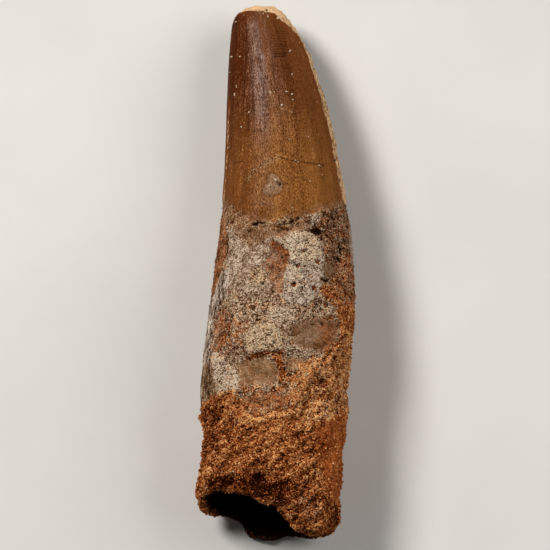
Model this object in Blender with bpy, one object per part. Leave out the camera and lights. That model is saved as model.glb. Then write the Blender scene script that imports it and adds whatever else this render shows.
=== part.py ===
"""A fossil spinosaurus tooth with sandstone set round the end of its root.

Metres, +Z up. The tooth lies along Y on the surface z = 0, with its tip towards +Y. The origin is on
that surface, below the middle of the bounding box.

A station is a distance in millimetres from the far lip of the root's open end, along Y. An angle goes
round a section, in degrees: 0 is the convex edge (+X), 90 the upper side, 180 the concave edge and 270
the underside. Every ring of both pieces has a point at each of the same angles, so the joint between
them keeps the same clearance all the way round.
"""

import math

import bmesh
import bpy
import numpy as np
from mathutils import Vector, noise

MM = 0.001

# Driving dimensions, in millimetres
TIP_STATION = 115.4
DOME_START = 110.2
DOME_POWER = 2.3
SEGMENTS = 64
CLEARANCE = 0.3
REST_HEIGHT = 0.0

# The enamel is this much thicker than the root below it, and the step fades out down the root
ENAMEL = 0.35
ENAMEL_FADE = 9.0
CROWN_LINE_MEAN, CROWN_LINE_SWING = 69.2, 1.9

# The root goes on inside the sandstone, set in by a shoulder and then by more, as far as its broken end
SHOULDER = 1.3
STUB_INSET = 2.3
STUB_SLOPE = 6.0
STUB_END = 14.0
CAVITY_END = 40.0

# Station, concave edge x, convex edge x, underside z, upper side z, squareness of the section
SECTIONS = (
    (-2.4, -16.8, 13.2, -0.5, 23.2, 2.30),
    (8.0, -17.0, 14.1, -0.6, 24.6, 2.30),
    (15.0, -16.2, 14.5, -0.6, 25.1, 2.30),
    (22.0, -15.8, 15.0, -0.6, 25.5, 2.25),
    (29.0, -16.3, 15.4, -0.6, 25.8, 2.20),
    (38.0, -15.5, 16.1, -0.6, 26.0, 2.20),
    (46.0, -14.4, 16.8, -0.6, 25.8, 2.15),
    (56.0, -13.2, 16.5, -0.5, 25.0, 2.10),
    (66.0, -12.2, 16.0, -0.2, 23.8, 2.05),
    (72.0, -11.6, 15.2, 0.1, 22.8, 2.00),
    (82.0, -11.0, 13.5, 0.8, 20.8, 2.00),
    (92.0, -10.7, 11.5, 1.7, 18.6, 2.00),
    (100.0, -10.4, 9.1, 2.5, 16.6, 2.00),
    (106.0, -10.1, 6.9, 3.2, 15.0, 2.00),
    (110.0, -9.7, 4.6, 3.6, 13.9, 2.00),
    (115.4, -9.4, 3.2, 4.2, 12.6, 2.00),
)

# Angle and station of the sandstone's upper edge, where it ends on the root
SANDSTONE_EDGE = (
    (5, 50.0), (17, 45.5), (31, 40.0), (45, 36.0), (56, 32.0), (66, 26.8), (76, 23.8),
    (90, 23.9), (108, 22.4), (120, 24.4), (127, 28.2), (141, 27.6), (175, 26.0), (205, 24.0),
    (230, 26.5), (255, 31.0), (275, 30.0), (300, 36.0), (325, 44.0), (345, 49.0),
)

# The underside is smooth this many degrees to each side of its middle, and uneven from the second turn on
REST_MIDDLE, REST_SMOOTH, REST_UNEVEN = 270.0, 16.0, 34.0

# The edge stands up from the root as a lip
LIP_HEIGHT, LIP_LENGTH = 0.45, 3.5

# Angle and station of the broken open end
RIM = (
    (10, -0.2), (26, -1.6), (44, -0.9), (56, 0.9), (66, 2.7), (78, 4.0), (92, 4.8), (115, 6.5),
    (133, 7.2), (154, 7.6), (180, 5.8), (195, 4.4), (207, 3.8), (226, 3.8), (240, 3.0), (249, 0.8),
    (261, -0.6), (277, -0.9), (298, 0.1), (309, -0.5), (324, -1.0), (340, -0.6),
)

# Angle and radius of the rounding on the outside of the open end
RIM_ROUNDING = ((0, 2.3), (40, 3.0), (75, 1.6), (120, 1.1), (180, 1.4), (240, 0.9), (300, 1.0))
RIM_TURNS = (0.0, 32.0, 62.0)
RIM_UNEVENNESS = 0.6
RIM_FACE_SHARE = 0.45

# Station, share of the outside that is hollow, and sideways shift of the hollow
HOLLOW = (
    (-2.4, 0.72, -1.9), (6.0, 0.70, -1.9), (14.0, 0.62, -1.4), (22.0, 0.50, -0.8), (29.0, 0.36, -0.3),
    (35.0, 0.22, 0.0), (40.0, 0.07, 0.0),
)
HOLLOW_ROUGHNESS_SIZE, HOLLOW_ROUGHNESS_HEIGHT = 4.0, 0.3

# Crusts that stand out of the root (more than 0) and smooth patches that are sunk in it (less than 0):
# station, angle, half length along the tooth, half width round it (degrees), height
ROOT_FORMS = (
    (54.5, 68, 9.5, 21, 0.45),
    (56.5, 127, 9.0, 20, 0.40),
    (55.5, 97, 6.5, 8, -0.30),
    (38.8, 99, 3.6, 23, 0.50),
    (40.5, 58, 4.8, 22, -0.35),
    (32.5, 110, 3.8, 16, -0.35),
    (31.5, 144, 6.0, 15, 0.45),
    (27.3, 92, 3.2, 18, -0.30),
    (31.0, 76, 4.0, 9, 0.35),
    (47.0, 160, 12.0, 7, -0.35),
    (50.0, 250, 10.0, 30, 0.40),
    (58.0, 300, 7.0, 22, -0.35),
    (40.0, 215, 8.0, 20, 0.45),
    (58.0, 20, 6.0, 14, 0.30),
)

# Pits along the foot of the enamel: station, angle, half length, half width (degrees), depth
PITS = (
    (65.8, 112, 1.5, 8, 0.8),
    (65.6, 88, 1.5, 9, 0.9),
    (63.8, 66, 1.6, 7, 1.0),
    (64.5, 38, 1.5, 8, 0.7),
    (65.5, 262, 1.5, 9, 0.8),
    (64.5, 215, 1.5, 8, 0.7),
    (64.0, 318, 1.6, 9, 0.7),
)

# Worn strip on the convex edge: its middle angle, half width and depth, and the stations it runs between
WORN_EDGE_ANGLE, WORN_EDGE_HALF_WIDTH, WORN_EDGE_DEPTH = 6.0, 7.0, 0.45
WORN_EDGE_STATIONS = (71.0, 112.0)

# Creases in the sandstone: station, angle, half length, half width (degrees), depth
CREASES = (
    (9.8, 108, 1.5, 34, 0.9),
    (15.0, 46, 1.3, 17, 0.6),
    (13.0, 292, 1.4, 24, 0.6),
)

# Size and height of the sandstone's lumps and grit, and of the root's and crown's unevenness
LUMP_SIZE, LUMP_HEIGHT = 4.6, 0.75
GRIT_SIZE, GRIT_HEIGHT = 1.9, 0.38
ROUGHNESS_SIZE, ROOT_ROUGHNESS_HEIGHT, CROWN_ROUGHNESS_HEIGHT = 4.0, 0.30, 0.06

# How many rings each stretch has, and the turns of the rings over the tip's dome
DOME_TURNS = (82, 66, 50, 34, 17)
CROWN_RINGS, COLLAR_RINGS, ROOT_RINGS, CAVITY_RINGS = 12, 3, 11, 7
COLLAR_STEP, COLLAR_LENGTH = 1.2, 6.0
SANDSTONE_RINGS, MOUTH_RINGS = 17, 3
MOUTH_DEPTHS = (0.3, 1.8)

TOOTH_COLOUR = (0.27, 0.13, 0.06, 1.0)
SANDSTONE_COLOUR = (0.33, 0.13, 0.04, 1.0)
TOOTH_ROUGHNESS, SANDSTONE_ROUGHNESS = 0.45, 0.9

ANGLES = np.arange(SEGMENTS) * 360.0 / SEGMENTS


def smooth_through(xs, ys, x):
    """A smooth curve through the points (xs, ys), read at x."""
    xs, ys = np.asarray(xs, float), np.asarray(ys, float)
    slopes = np.gradient(ys, xs)
    i = np.clip(np.searchsorted(xs, x) - 1, 0, len(xs) - 2)
    step = xs[i + 1] - xs[i]
    t = np.clip((x - xs[i]) / step, 0.0, 1.0)
    return (
        (1 + 2 * t) * (1 - t) ** 2 * ys[i]
        + t * (1 - t) ** 2 * step * slopes[i]
        + t * t * (3 - 2 * t) * ys[i + 1]
        + t * t * (t - 1) * step * slopes[i + 1]
    )


def column(rows, number):
    return [row[number] for row in rows]


def around(rows, angle):
    """A table of (angle, value) as a smooth closed curve, read at angle."""
    turns = [(a + turn, value) for turn in (-360, 0, 360) for a, value in rows]
    return smooth_through(column(turns, 0), column(turns, 1), np.mod(angle, 360.0))


def smoothstep(low, high, x):
    t = np.clip((x - low) / (high - low), 0.0, 1.0)
    return t * t * (3 - 2 * t)


def section(station):
    """Centre x, centre z, half width, half depth and squareness of the outside at each station."""
    stations = column(SECTIONS, 0)
    left, right, under, top, power = (
        smooth_through(stations, column(SECTIONS, n), station) for n in range(1, 6)
    )
    along_dome = np.clip((station - DOME_START) / (TIP_STATION - DOME_START), 0.0, 1.0)
    dome = (1 - along_dome**DOME_POWER) ** (1 / DOME_POWER)
    return (left + right) / 2, (under + top) / 2, (right - left) / 2 * dome, (top - under) / 2 * dome, power


def outside_radius(station, angle):
    _, _, half_width, half_depth, power = section(station)
    turn = np.radians(angle)
    across = np.abs(np.cos(turn)) / np.maximum(half_width, 1e-6)
    up = np.abs(np.sin(turn)) / np.maximum(half_depth, 1e-6)
    return (across**power + up**power) ** (-1 / power)


def place(station, angle, radius, shift=0.0):
    """Points at a distance from the middle of their sections, with the underside flat where it rests."""
    centre_x, centre_z, *_ = section(station)
    turn = np.radians(angle)
    x = centre_x + shift + radius * np.cos(turn)
    z = np.maximum(centre_z + radius * np.sin(turn), REST_HEIGHT)
    return np.stack([x, np.broadcast_to(station, x.shape), z], axis=-1)


def turn_between(angle, middle):
    """Degrees from middle to angle, by the shorter way."""
    return np.mod(angle - middle + 180.0, 360.0) - 180.0


def bump(station, angle, form):
    """1 in the middle of a form and 0 outside it, with a steep side between them."""
    middle, middle_angle, half_length, half_width = form[:4]
    away = np.hypot((station - middle) / half_length, turn_between(angle, middle_angle) / half_width)
    return 1 - smoothstep(0.55, 1.0, away)


def unevenness(points, size, offset):
    """Noise from about -1 to 1 at each point, with waves of that size."""
    return np.array([noise.noise(Vector(p) / size + Vector((offset, offset, offset))) for p in points])


def lumpiness(points, size, offset):
    """Round lumps of that size with creases between them, from about 1 on a lump to -1 in a crease."""
    places = [Vector(p) / size + Vector((offset, offset, offset)) for p in points]
    return np.array([1.0 - 2.4 * noise.voronoi(place)[0][0] for place in places])


def clear_of_rest(angle):
    """0 where the piece rests on its underside and 1 away from there."""
    return smoothstep(REST_SMOOTH, REST_UNEVEN, np.abs(turn_between(angle, REST_MIDDLE)))


def crown_line(angle):
    """Station of the enamel's lower edge, which reaches lower on the two broad faces."""
    return CROWN_LINE_MEAN + CROWN_LINE_SWING * np.cos(2 * np.radians(angle))


def root_share(station, angle):
    """1 on the root and 0 on the crown."""
    line = crown_line(angle)
    return 1 - smoothstep(line - 1.0, line + 0.2, station)


def worn_edge(station, angle):
    """1 on the worn strip of the crown's convex edge."""
    start, end = WORN_EDGE_STATIONS
    turn = np.abs(turn_between(angle, WORN_EDGE_ANGLE))
    strip = 1 - smoothstep(0.7 * WORN_EDGE_HALF_WIDTH, 1.2 * WORN_EDGE_HALF_WIDTH, turn)
    return strip * smoothstep(start - 2.0, start, station) * (1 - smoothstep(end, end + 1.0, station))


def tooth_relief(station, angle):
    """How far the tooth's surface stands out of its plain section."""
    points = place(station, angle, outside_radius(station, angle))
    root = root_share(station, angle)
    line = crown_line(angle)
    roughness = root * ROOT_ROUGHNESS_HEIGHT + (1 - root) * CROWN_ROUGHNESS_HEIGHT
    relief = roughness * clear_of_rest(angle) * unevenness(points, ROUGHNESS_SIZE, 3.1)
    relief = relief - ENAMEL * root * smoothstep(line - ENAMEL_FADE, line - 1.0, station)
    for form in ROOT_FORMS:
        relief = relief + root * clear_of_rest(angle) * form[4] * bump(station, angle, form)
    for pit in PITS:
        relief = relief - pit[4] * bump(station, angle, pit)
    return relief - WORN_EDGE_DEPTH * worn_edge(station, angle)


def sandstone_relief(station, angle):
    """The sandstone's lip, its lumps and grit, and the creases in it."""
    points = place(station, angle, outside_radius(station, angle))
    edge = around(SANDSTONE_EDGE, angle)
    relief = LIP_HEIGHT * smoothstep(edge - LIP_LENGTH, edge - 1.0, station)
    relief = relief + LUMP_HEIGHT * lumpiness(points, LUMP_SIZE, 11.3)
    relief = relief + GRIT_HEIGHT * unevenness(points, GRIT_SIZE, 19.2)
    for crease in CREASES:
        relief = relief - crease[4] * bump(station, angle, crease)
    return relief * clear_of_rest(angle)


def hollow_ring(station):
    """A ring of the pulp cavity's wall."""
    stations = column(HOLLOW, 0)
    share = smooth_through(stations, column(HOLLOW, 1), station)
    shift = smooth_through(stations, column(HOLLOW, 2), station)
    radius = share * outside_radius(station, ANGLES)
    waves = unevenness(place(station, ANGLES, radius), HOLLOW_ROUGHNESS_SIZE, 5.3)
    return place(station, ANGLES, radius + HOLLOW_ROUGHNESS_HEIGHT * waves, shift)


def stub_ring(station, clearance):
    """A ring of the root where the sandstone covers it, or of the sandstone's inside with a clearance."""
    below = around(SANDSTONE_EDGE, ANGLES) - station
    inset = SHOULDER + (STUB_INSET - SHOULDER) * smoothstep(0.0, STUB_SLOPE, below)
    return place(station, ANGLES, outside_radius(station, ANGLES) - inset + clearance)


def stub_stations():
    """Stations of the rings between the root's shoulder and its end, the same in both pieces."""
    edge = around(SANDSTONE_EDGE, ANGLES)
    return [edge - 1.5, edge - 4.0, (edge + STUB_END) / 2 - 1.0]


def outside_ring(station, relief, inset=0.0):
    return place(station, ANGLES, outside_radius(station, ANGLES) - inset + relief(station, ANGLES))


def evenly(start, end, count):
    """count stations for each angle from start to end, without the last."""
    return [start + (end - start) * n / count for n in range(count)]


def tooth_rings():
    """The tooth's rings from the tip, over the crown and root, round its end and up the pulp cavity."""
    level = np.zeros(SEGMENTS)
    dome_height = TIP_STATION - DOME_START
    line, edge = crown_line(ANGLES), around(SANDSTONE_EDGE, ANGLES)
    stations = [level + DOME_START + dome_height * math.sin(math.radians(turn)) for turn in DOME_TURNS]
    stations += evenly(level + DOME_START, line, CROWN_RINGS)
    stations += [line]
    stations += evenly(line - COLLAR_STEP, line - COLLAR_LENGTH, COLLAR_RINGS)
    stations += evenly(line - COLLAR_LENGTH, edge, ROOT_RINGS)
    rings = [outside_ring(station, tooth_relief) for station in [*stations, edge]]
    stub_end = level + STUB_END + CLEARANCE
    rings += [stub_ring(station, 0.0) for station in [edge, *stub_stations(), stub_end]]
    cavity_end = level + CAVITY_END
    return rings + [hollow_ring(s) for s in [*evenly(stub_end, cavity_end, CAVITY_RINGS), cavity_end]]


def sandstone_rings():
    """The sandstone's rings: down its outside, over the broken end, up the hollow and back inside."""
    rim, rounding = around(RIM, ANGLES), around(RIM_ROUNDING, ANGLES)
    top = around(SANDSTONE_EDGE, ANGLES) - CLEARANCE
    rings = [outside_ring(s, sandstone_relief) for s in evenly(top, rim + rounding, SANDSTONE_RINGS)]
    for turn in np.radians(RIM_TURNS):
        station = rim + rounding * (1 - np.sin(turn))
        rings.append(outside_ring(station, sandstone_relief, rounding * (1 - np.cos(turn))))
    lip_depth, mouth_depth = MOUTH_DEPTHS
    mouth = hollow_ring(rim + lip_depth)
    rim_face = rings[-1] * RIM_FACE_SHARE + mouth * (1 - RIM_FACE_SHARE)
    rim_face[:, 1] = rim + RIM_UNEVENNESS * unevenness(rim_face, GRIT_SIZE, 1.7)
    inside_end = np.full(SEGMENTS, STUB_END)
    hollow = [*evenly(rim + mouth_depth, inside_end, MOUTH_RINGS), inside_end]
    rings += [rim_face, mouth, *(hollow_ring(station) for station in hollow)]
    return rings + [stub_ring(s, CLEARANCE) for s in [inside_end, *reversed(stub_stations()), top]]


def loft(name, rings, closed_loop):
    """One solid whose skin passes through the rings. Open lofts are closed with a fan at each end."""
    mesh = bmesh.new()
    loops = [[mesh.verts.new(Vector(p) * MM) for p in ring] for ring in rings]
    pairs = list(zip(loops, loops[1:])) + ([(loops[-1], loops[0])] if closed_loop else [])
    for upper, lower in pairs:
        for n in range(SEGMENTS):
            m = (n + 1) % SEGMENTS
            mesh.faces.new((upper[n], upper[m], lower[m], lower[n]))
    if not closed_loop:
        for ring, loop in ((rings[0], loops[0]), (rings[-1], loops[-1])):
            pole = mesh.verts.new(Vector(np.mean(ring, axis=0)) * MM)
            for n in range(SEGMENTS):
                mesh.faces.new((loop[n], loop[(n + 1) % SEGMENTS], pole))
    bmesh.ops.recalc_face_normals(mesh, faces=mesh.faces)
    data = bpy.data.meshes.new(name)
    mesh.to_mesh(data)
    mesh.free()
    data.shade_smooth()
    return bpy.data.objects.new(name, data)


def finish(obj, colour, roughness):
    material = bpy.data.materials.new(obj.name)
    material.use_nodes = True
    shader = material.node_tree.nodes["Principled BSDF"]
    shader.inputs["Base Color"].default_value = colour
    shader.inputs["Roughness"].default_value = roughness
    obj.data.materials.append(material)


def centre_on_origin(objects):
    """Moves the pieces together, so that the origin is below the middle of their bounding box."""
    points = [vertex.co for obj in objects for vertex in obj.data.vertices]
    for axis in (0, 1):
        values = [p[axis] for p in points]
        middle = (min(values) + max(values)) / 2
        for obj in objects:
            obj.location[axis] = -middle


def main():
    for obj in list(bpy.data.objects):
        bpy.data.objects.remove(obj)
    collection = bpy.data.collections.new("spinosaurus_tooth")
    bpy.context.scene.collection.children.link(collection)
    tooth = loft("tooth", tooth_rings(), closed_loop=False)
    sandstone = loft("sandstone_matrix", sandstone_rings(), closed_loop=True)
    finish(tooth, TOOTH_COLOUR, TOOTH_ROUGHNESS)
    finish(sandstone, SANDSTONE_COLOUR, SANDSTONE_ROUGHNESS)
    for obj in (tooth, sandstone):
        collection.objects.link(obj)
    centre_on_origin((tooth, sandstone))


main()
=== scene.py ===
# %% [markdown]
# # A fossil tooth in the stone it was found in
#
# This lesson dresses a plain, measured model of a spinosaurus tooth. The measured model already has the right
# size, curve and broken end. What it lacks is everything finer than two millimetres: the satin enamel, the
# crusts on the root, the sand grains. We load that model as a fixed frame and never move it, so whatever we
# make sits where the real thing has it.

# %% Load the measured model
import math

import bmesh
import bpy
import numpy as np
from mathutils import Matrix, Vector, noise
from mathutils.kdtree import KDTree


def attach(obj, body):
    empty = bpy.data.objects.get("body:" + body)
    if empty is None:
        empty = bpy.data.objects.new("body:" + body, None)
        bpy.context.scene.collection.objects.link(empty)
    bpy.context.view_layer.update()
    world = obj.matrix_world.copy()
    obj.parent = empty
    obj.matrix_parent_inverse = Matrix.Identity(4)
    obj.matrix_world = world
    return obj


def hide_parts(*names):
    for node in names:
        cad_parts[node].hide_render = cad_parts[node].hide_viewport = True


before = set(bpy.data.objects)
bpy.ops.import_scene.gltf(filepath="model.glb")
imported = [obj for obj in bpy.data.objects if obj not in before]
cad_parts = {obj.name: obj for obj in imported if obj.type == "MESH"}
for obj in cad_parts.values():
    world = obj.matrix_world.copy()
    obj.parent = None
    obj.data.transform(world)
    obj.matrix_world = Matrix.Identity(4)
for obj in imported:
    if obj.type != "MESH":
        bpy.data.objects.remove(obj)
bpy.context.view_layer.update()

# %% [markdown]
# ## Units and the camera
#
# We think in millimetres, because a sand grain is half of one. The tooth lies along Y with its tip towards
# +Y. A *station* is a distance along it, counted from the broken end of the root, so the tip is at 115.4.
#
# The picture we work from looks down on the tooth, from 10 degrees towards the broken end, through a long
# lens. The camera comes first, because it lets us say where a patch is by where it shows in the picture.

# %% The camera
MM = 0.001
TIP_STATION = 115.4
PICTURE = 550
PICTURE_WIDTH_MM = 118.2
CAMERA_DISTANCE_MM = 1000.0
CAMERA_TILT = math.radians(10.0)
CAMERA_AIM_MM = np.array([-0.2, -1.7, 12.0])
SENSOR_MM = 36.0

camera_back = np.array([0.0, -math.sin(CAMERA_TILT), math.cos(CAMERA_TILT)])
camera_up = np.array([0.0, math.cos(CAMERA_TILT), math.sin(CAMERA_TILT)])

camera = bpy.data.objects.new("camera", bpy.data.cameras.new("camera"))
camera.data.sensor_width = SENSOR_MM
camera.data.lens = SENSOR_MM * CAMERA_DISTANCE_MM / PICTURE_WIDTH_MM
camera.data.clip_start = 0.01
camera.location = (CAMERA_AIM_MM + camera_back * CAMERA_DISTANCE_MM) * MM
camera.rotation_euler = (CAMERA_TILT, 0.0, 0.0)
bpy.context.scene.collection.objects.link(camera)
bpy.context.scene.camera = camera
print(f"lens of {camera.data.lens:.0f} mm, one pixel is {PICTURE_WIDTH_MM / PICTURE:.3f} mm")

# %% [markdown]
# ## Where a point shows in the picture
#
# `in_picture` is the camera's own sum, done for a whole array of points at once. It gives pixels to the right
# and down. On the hidden underside there is nothing to follow, so there we slide the pattern along and
# sideways, little by little, the further a point lies below the tooth's middle. The crusts then run on round
# the edge as they would on the real root, and the back isn't a copy of the front.

# %% From millimetres to pixels
PIXELS_PER_MM = PICTURE / PICTURE_WIDTH_MM
UNDER_SHIFT = np.array([-17.0, 33.0])


def smoothstep(low, high, x):
    """0 below low, 1 above high and an even curve between them."""
    t = np.clip((x - low) / (high - low), 0.0, 1.0)
    return t * t * (3.0 - 2.0 * t)


def in_picture(points):
    """Pixels to the right and down at which the camera sees each point, given in millimetres."""
    away = points - (CAMERA_AIM_MM + camera_back * CAMERA_DISTANCE_MM)
    nearness = CAMERA_DISTANCE_MM / -(away @ camera_back)
    right = PICTURE / 2 + away[:, 0] * nearness * PIXELS_PER_MM
    down = PICTURE / 2 - (away @ camera_up) * nearness * PIXELS_PER_MM
    return np.stack([right, down], axis=1)


# %% [markdown]
# ## The line through the middle of the tooth
#
# Enamel streaks, the worn edge and the broken rim all follow the tooth's round form. For them we want to know
# how far along and how far *round* a point is. We read the tooth's middle from the measured model itself, in
# slices of three millimetres, and smooth it a little.

# %% Stations and angles
SLICE_MM = 3.0


def numbers(items, name, width=1):
    """One property of many mesh elements, as an array."""
    values = np.empty(len(items) * width, np.float32)
    items.foreach_get(name, values)
    return values.reshape(-1, width) if width > 1 else values


cad_points = np.concatenate([numbers(o.data.vertices, "co", 3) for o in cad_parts.values()]) / MM
STATION_SHIFT = TIP_STATION - cad_points[:, 1].max()
slice_stations = np.arange(2.0, TIP_STATION - 1.0, SLICE_MM)
slice_middles = []
for station in slice_stations:
    near = cad_points[np.abs(cad_points[:, 1] + STATION_SHIFT - station) < SLICE_MM]
    slice_middles.append((near.min(axis=0) + near.max(axis=0)) / 2)
slice_middles = np.array(slice_middles)


def round_the_tooth(points):
    """Station, angle in degrees and distance from the middle line of each point, in millimetres."""
    station = points[:, 1] + STATION_SHIFT
    across = points[:, 0] - np.interp(station, slice_stations, slice_middles[:, 0])
    up = points[:, 2] - np.interp(station, slice_stations, slice_middles[:, 2])
    return station, np.degrees(np.arctan2(up, across)), np.hypot(across, up)


print(f"{len(slice_stations)} slices, middle height {slice_middles[:, 2].mean():.1f} mm")

# %% [markdown]
# ## Noise that works on arrays
#
# Nothing natural is even. `waves` gives smooth hills and valleys of a given size, and `cells` gives the
# distance to the nearest of many scattered points, which reads as round lumps, pores or grains. Both depend
# on the place alone, so the script makes the same tooth each time.

# %% Waves and cells
def noise_places(points, size, offset):
    return ((points / size) + np.array([offset, 1.7 * offset, -offset])).tolist()


def waves(points, size, offset=0.0):
    """Smooth noise from about -1 to 1, with hills of that size in millimetres."""
    return np.array([noise.noise(p) for p in noise_places(points, size, offset)])


def cells(points, size, offset=0.0):
    """Distance to the nearest scattered point, in shares of size: 0 at a point, about 0.6 between points."""
    return np.array([noise.voronoi(p)[0][0] for p in noise_places(points, size, offset)])


# %% [markdown]
# ## Outlines of the patches
#
# The root's look is a patchwork: bright chalky crust, a pinkish crust, smooth bared dentine, sandy rust. Each
# patch is a short outline in picture pixels. What we keep on the mesh isn't "in or out" but the *distance to
# the outline*, because a distance can be blended between two vertices without stair steps. The material then
# roughens that distance with fine noise and cuts it where it likes, so an edge can be sharper than the mesh.

# %% Distances in the picture
def distance_to_line(spots, line):
    """Distance from each spot to an open line, in pixels."""
    corners = np.array(line, float)
    nearest = np.full(len(spots), np.inf)
    for start, end in zip(corners, corners[1:]):
        side = end - start
        share = np.clip(((spots - start) @ side) / (side @ side), 0.0, 1.0)
        nearest = np.minimum(nearest, np.linalg.norm(spots - start - share[:, None] * side, axis=1))
    return nearest


def distance_inside(spots, outline):
    """How far inside a closed outline each spot is, in pixels. It is negative outside."""
    corners = np.array([*outline, outline[0]], float)
    inside = np.zeros(len(spots), bool)
    for start, end in zip(corners, corners[1:]):
        side = end - start
        crosses = (start[1] > spots[:, 1]) != (end[1] > spots[:, 1])
        inside ^= crosses & (spots[:, 0] < start[0] + side[0] * (spots[:, 1] - start[1]) / (side[1] or 1e-9))
    nearest = distance_to_line(spots, corners)
    return np.where(inside, nearest, -nearest)


def distance_to_spot(spots, spot, width=1.0, height=1.0):
    """Distance from each spot to one spot, in pixels, or in shares of an oval's half width and height."""
    return np.hypot((spots[:, 0] - spot[0]) / width, (spots[:, 1] - spot[1]) / height)


# %% [markdown]
# ## The root's patchwork, as a table
#
# Each row is one patch, in the order in which a painter would lay them on. Its numbers are: how light it is
# (0 black, 1 cream), how much rust is in it, how bare and smooth it is, how warm its tone is, how much its
# pattern runs lengthwise, how many millimetres it stands proud, and how soft its edge is in millimetres. The
# outlines are in picture pixels. The sandstone has a short table of its own, which shares one row with the
# root, because there the sand runs over the stone's edge and hides it.

# %% Tables of patches
MIXED_SAND = ("sand run over the edge", 0.63, 0.72, 0.0, 0.95, 0.0, 0.10, 0.9, [
    (294, 368), (304, 360), (320, 355), (332, 354), (341, 340), (372, 330), (372, 404), (344, 412),
    (318, 424), (296, 416), (288, 402)])

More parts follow.
